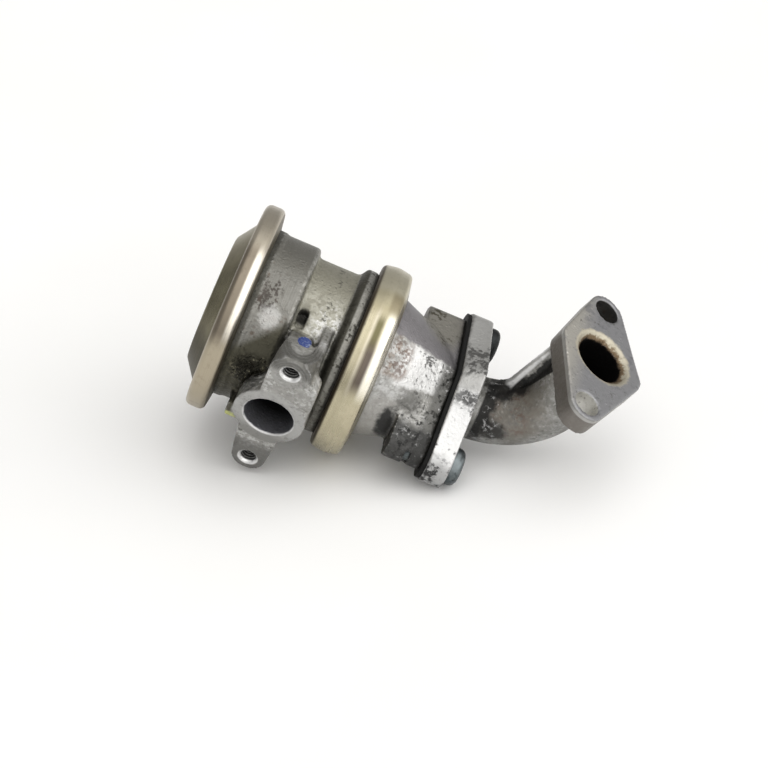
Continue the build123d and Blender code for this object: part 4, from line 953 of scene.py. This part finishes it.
def make_camera():
    """Camera above the port side."""
    camera = bpy.data.objects.new("camera", bpy.data.cameras.new("camera"))
    bpy.context.collection.objects.link(camera)
    camera.data.lens = CAMERA_LENS
    camera.data.clip_start = CAMERA_NEAR
    camera.matrix_world = look_matrix(at(*CAMERA_PLACE), CAMERA_LOOKS.normalized(), CAMERA_ROLL)
    bpy.context.scene.camera = camera


def make_floor():
    """Pale plane that the valve lies on, just touching its lowest points."""
    across = FLOOR_UP.cross(Vector((0, 1, 0))).normalized()
    forward = FLOOR_UP.cross(across)
    lowest = min(FLOOR_UP.dot(v.co) for o in nodes.values() for v in o.data.vertices)
    mesh = bpy.data.meshes.new("floor")
    half = FLOOR_SIZE / 2
    centre = at(*FLOOR_MIDDLE)
    centre += FLOOR_UP * (lowest - FLOOR_UP.dot(centre))
    corners = [centre + (x * across + y * forward) * half for x, y in ((-1, -1), (1, -1), (1, 1), (-1, 1))]
    mesh.from_pydata(corners, [], [(0, 1, 2, 3)])
    floor = bpy.data.objects.new("floor", mesh)
    bpy.context.collection.objects.link(floor)
    material = bpy.data.materials.new("floor")
    material.use_nodes = True
    tree = material.node_tree
    shader = next(n for n in tree.nodes if n.type == "BSDF_PRINCIPLED")
    here = add(tree, "ShaderNodeTexCoord").outputs["Object"]
    cloudy = add(tree, "ShaderNodeTexNoise", {"Vector": here, "Scale": 9.0, "Detail": 3.0}).outputs["Fac"]
    pale = mixed(tree, ramp(tree, cloudy, 0.35, 0.65), (0.94, 0.94, 0.935, 1), (0.96, 0.96, 0.96, 1))
    feed(tree, shader.inputs["Base Color"], pale)
    feed(tree, shader.inputs["Roughness"], 0.7)
    # seen from under the floor, the floor is clear
    underside = add(tree, "ShaderNodeNewGeometry").outputs["Backfacing"]
    clear = add(tree, "ShaderNodeBsdfTransparent").outputs[0]
    blend = add(tree, "ShaderNodeMixShader", {0: underside, 1: shader.outputs[0], 2: clear}).outputs[0]
    feed(tree, next(n for n in tree.nodes if n.type == "OUTPUT_MATERIAL").inputs["Surface"], blend)
    mesh.materials.append(material)


def make_lamp():
    """Broad square lamp, nearly overhead."""
    light = bpy.data.lights.new("key", "AREA")
    light.shape = "RECTANGLE"
    light.size = KEY_SIZE
    light.size_y = KEY_SIZE
    light.energy = KEY_POWER
    lamp = bpy.data.objects.new("key", light)
    bpy.context.collection.objects.link(lamp)
    lamp.location = at(*KEY_AIM) + KEY_FROM.normalized() * KEY_AWAY
    lamp.rotation_mode = "QUATERNION"
    lamp.rotation_quaternion = (-KEY_FROM).to_track_quat("-Z", "Y")


def make_world():
    """Studio room: a broad soft light above, in front and to the right, dimmer to the left and behind."""
    world = bpy.data.worlds.new("room")
    bpy.context.scene.world = world
    world.use_nodes = True
    tree = world.node_tree
    background = next(n for n in tree.nodes if n.type == "BACKGROUND")
    direction = add(tree, "ShaderNodeTexCoord").outputs["Generated"]
    towards = vector_maths(tree, "DOT_PRODUCT", direction, tuple(LIGHT_FROM)).outputs["Value"]
    soft = ramp(tree, towards, 0.25, 0.9, ROOM_LEVEL, SOFT_LEVEL)
    x = add(tree, "ShaderNodeSeparateXYZ", {0: direction}).outputs[0]
    right = ramp(tree, x, 0.3, 0.9, 0.0, RIGHT_LEVEL)
    feed(tree, background.inputs["Color"], ROOM_COLOUR)
    feed(tree, background.inputs["Strength"], maths(tree, "ADD", soft, right))


make_camera()
make_floor()
make_world()
make_lamp()

bpy.context.scene.view_settings.view_transform = "Standard"
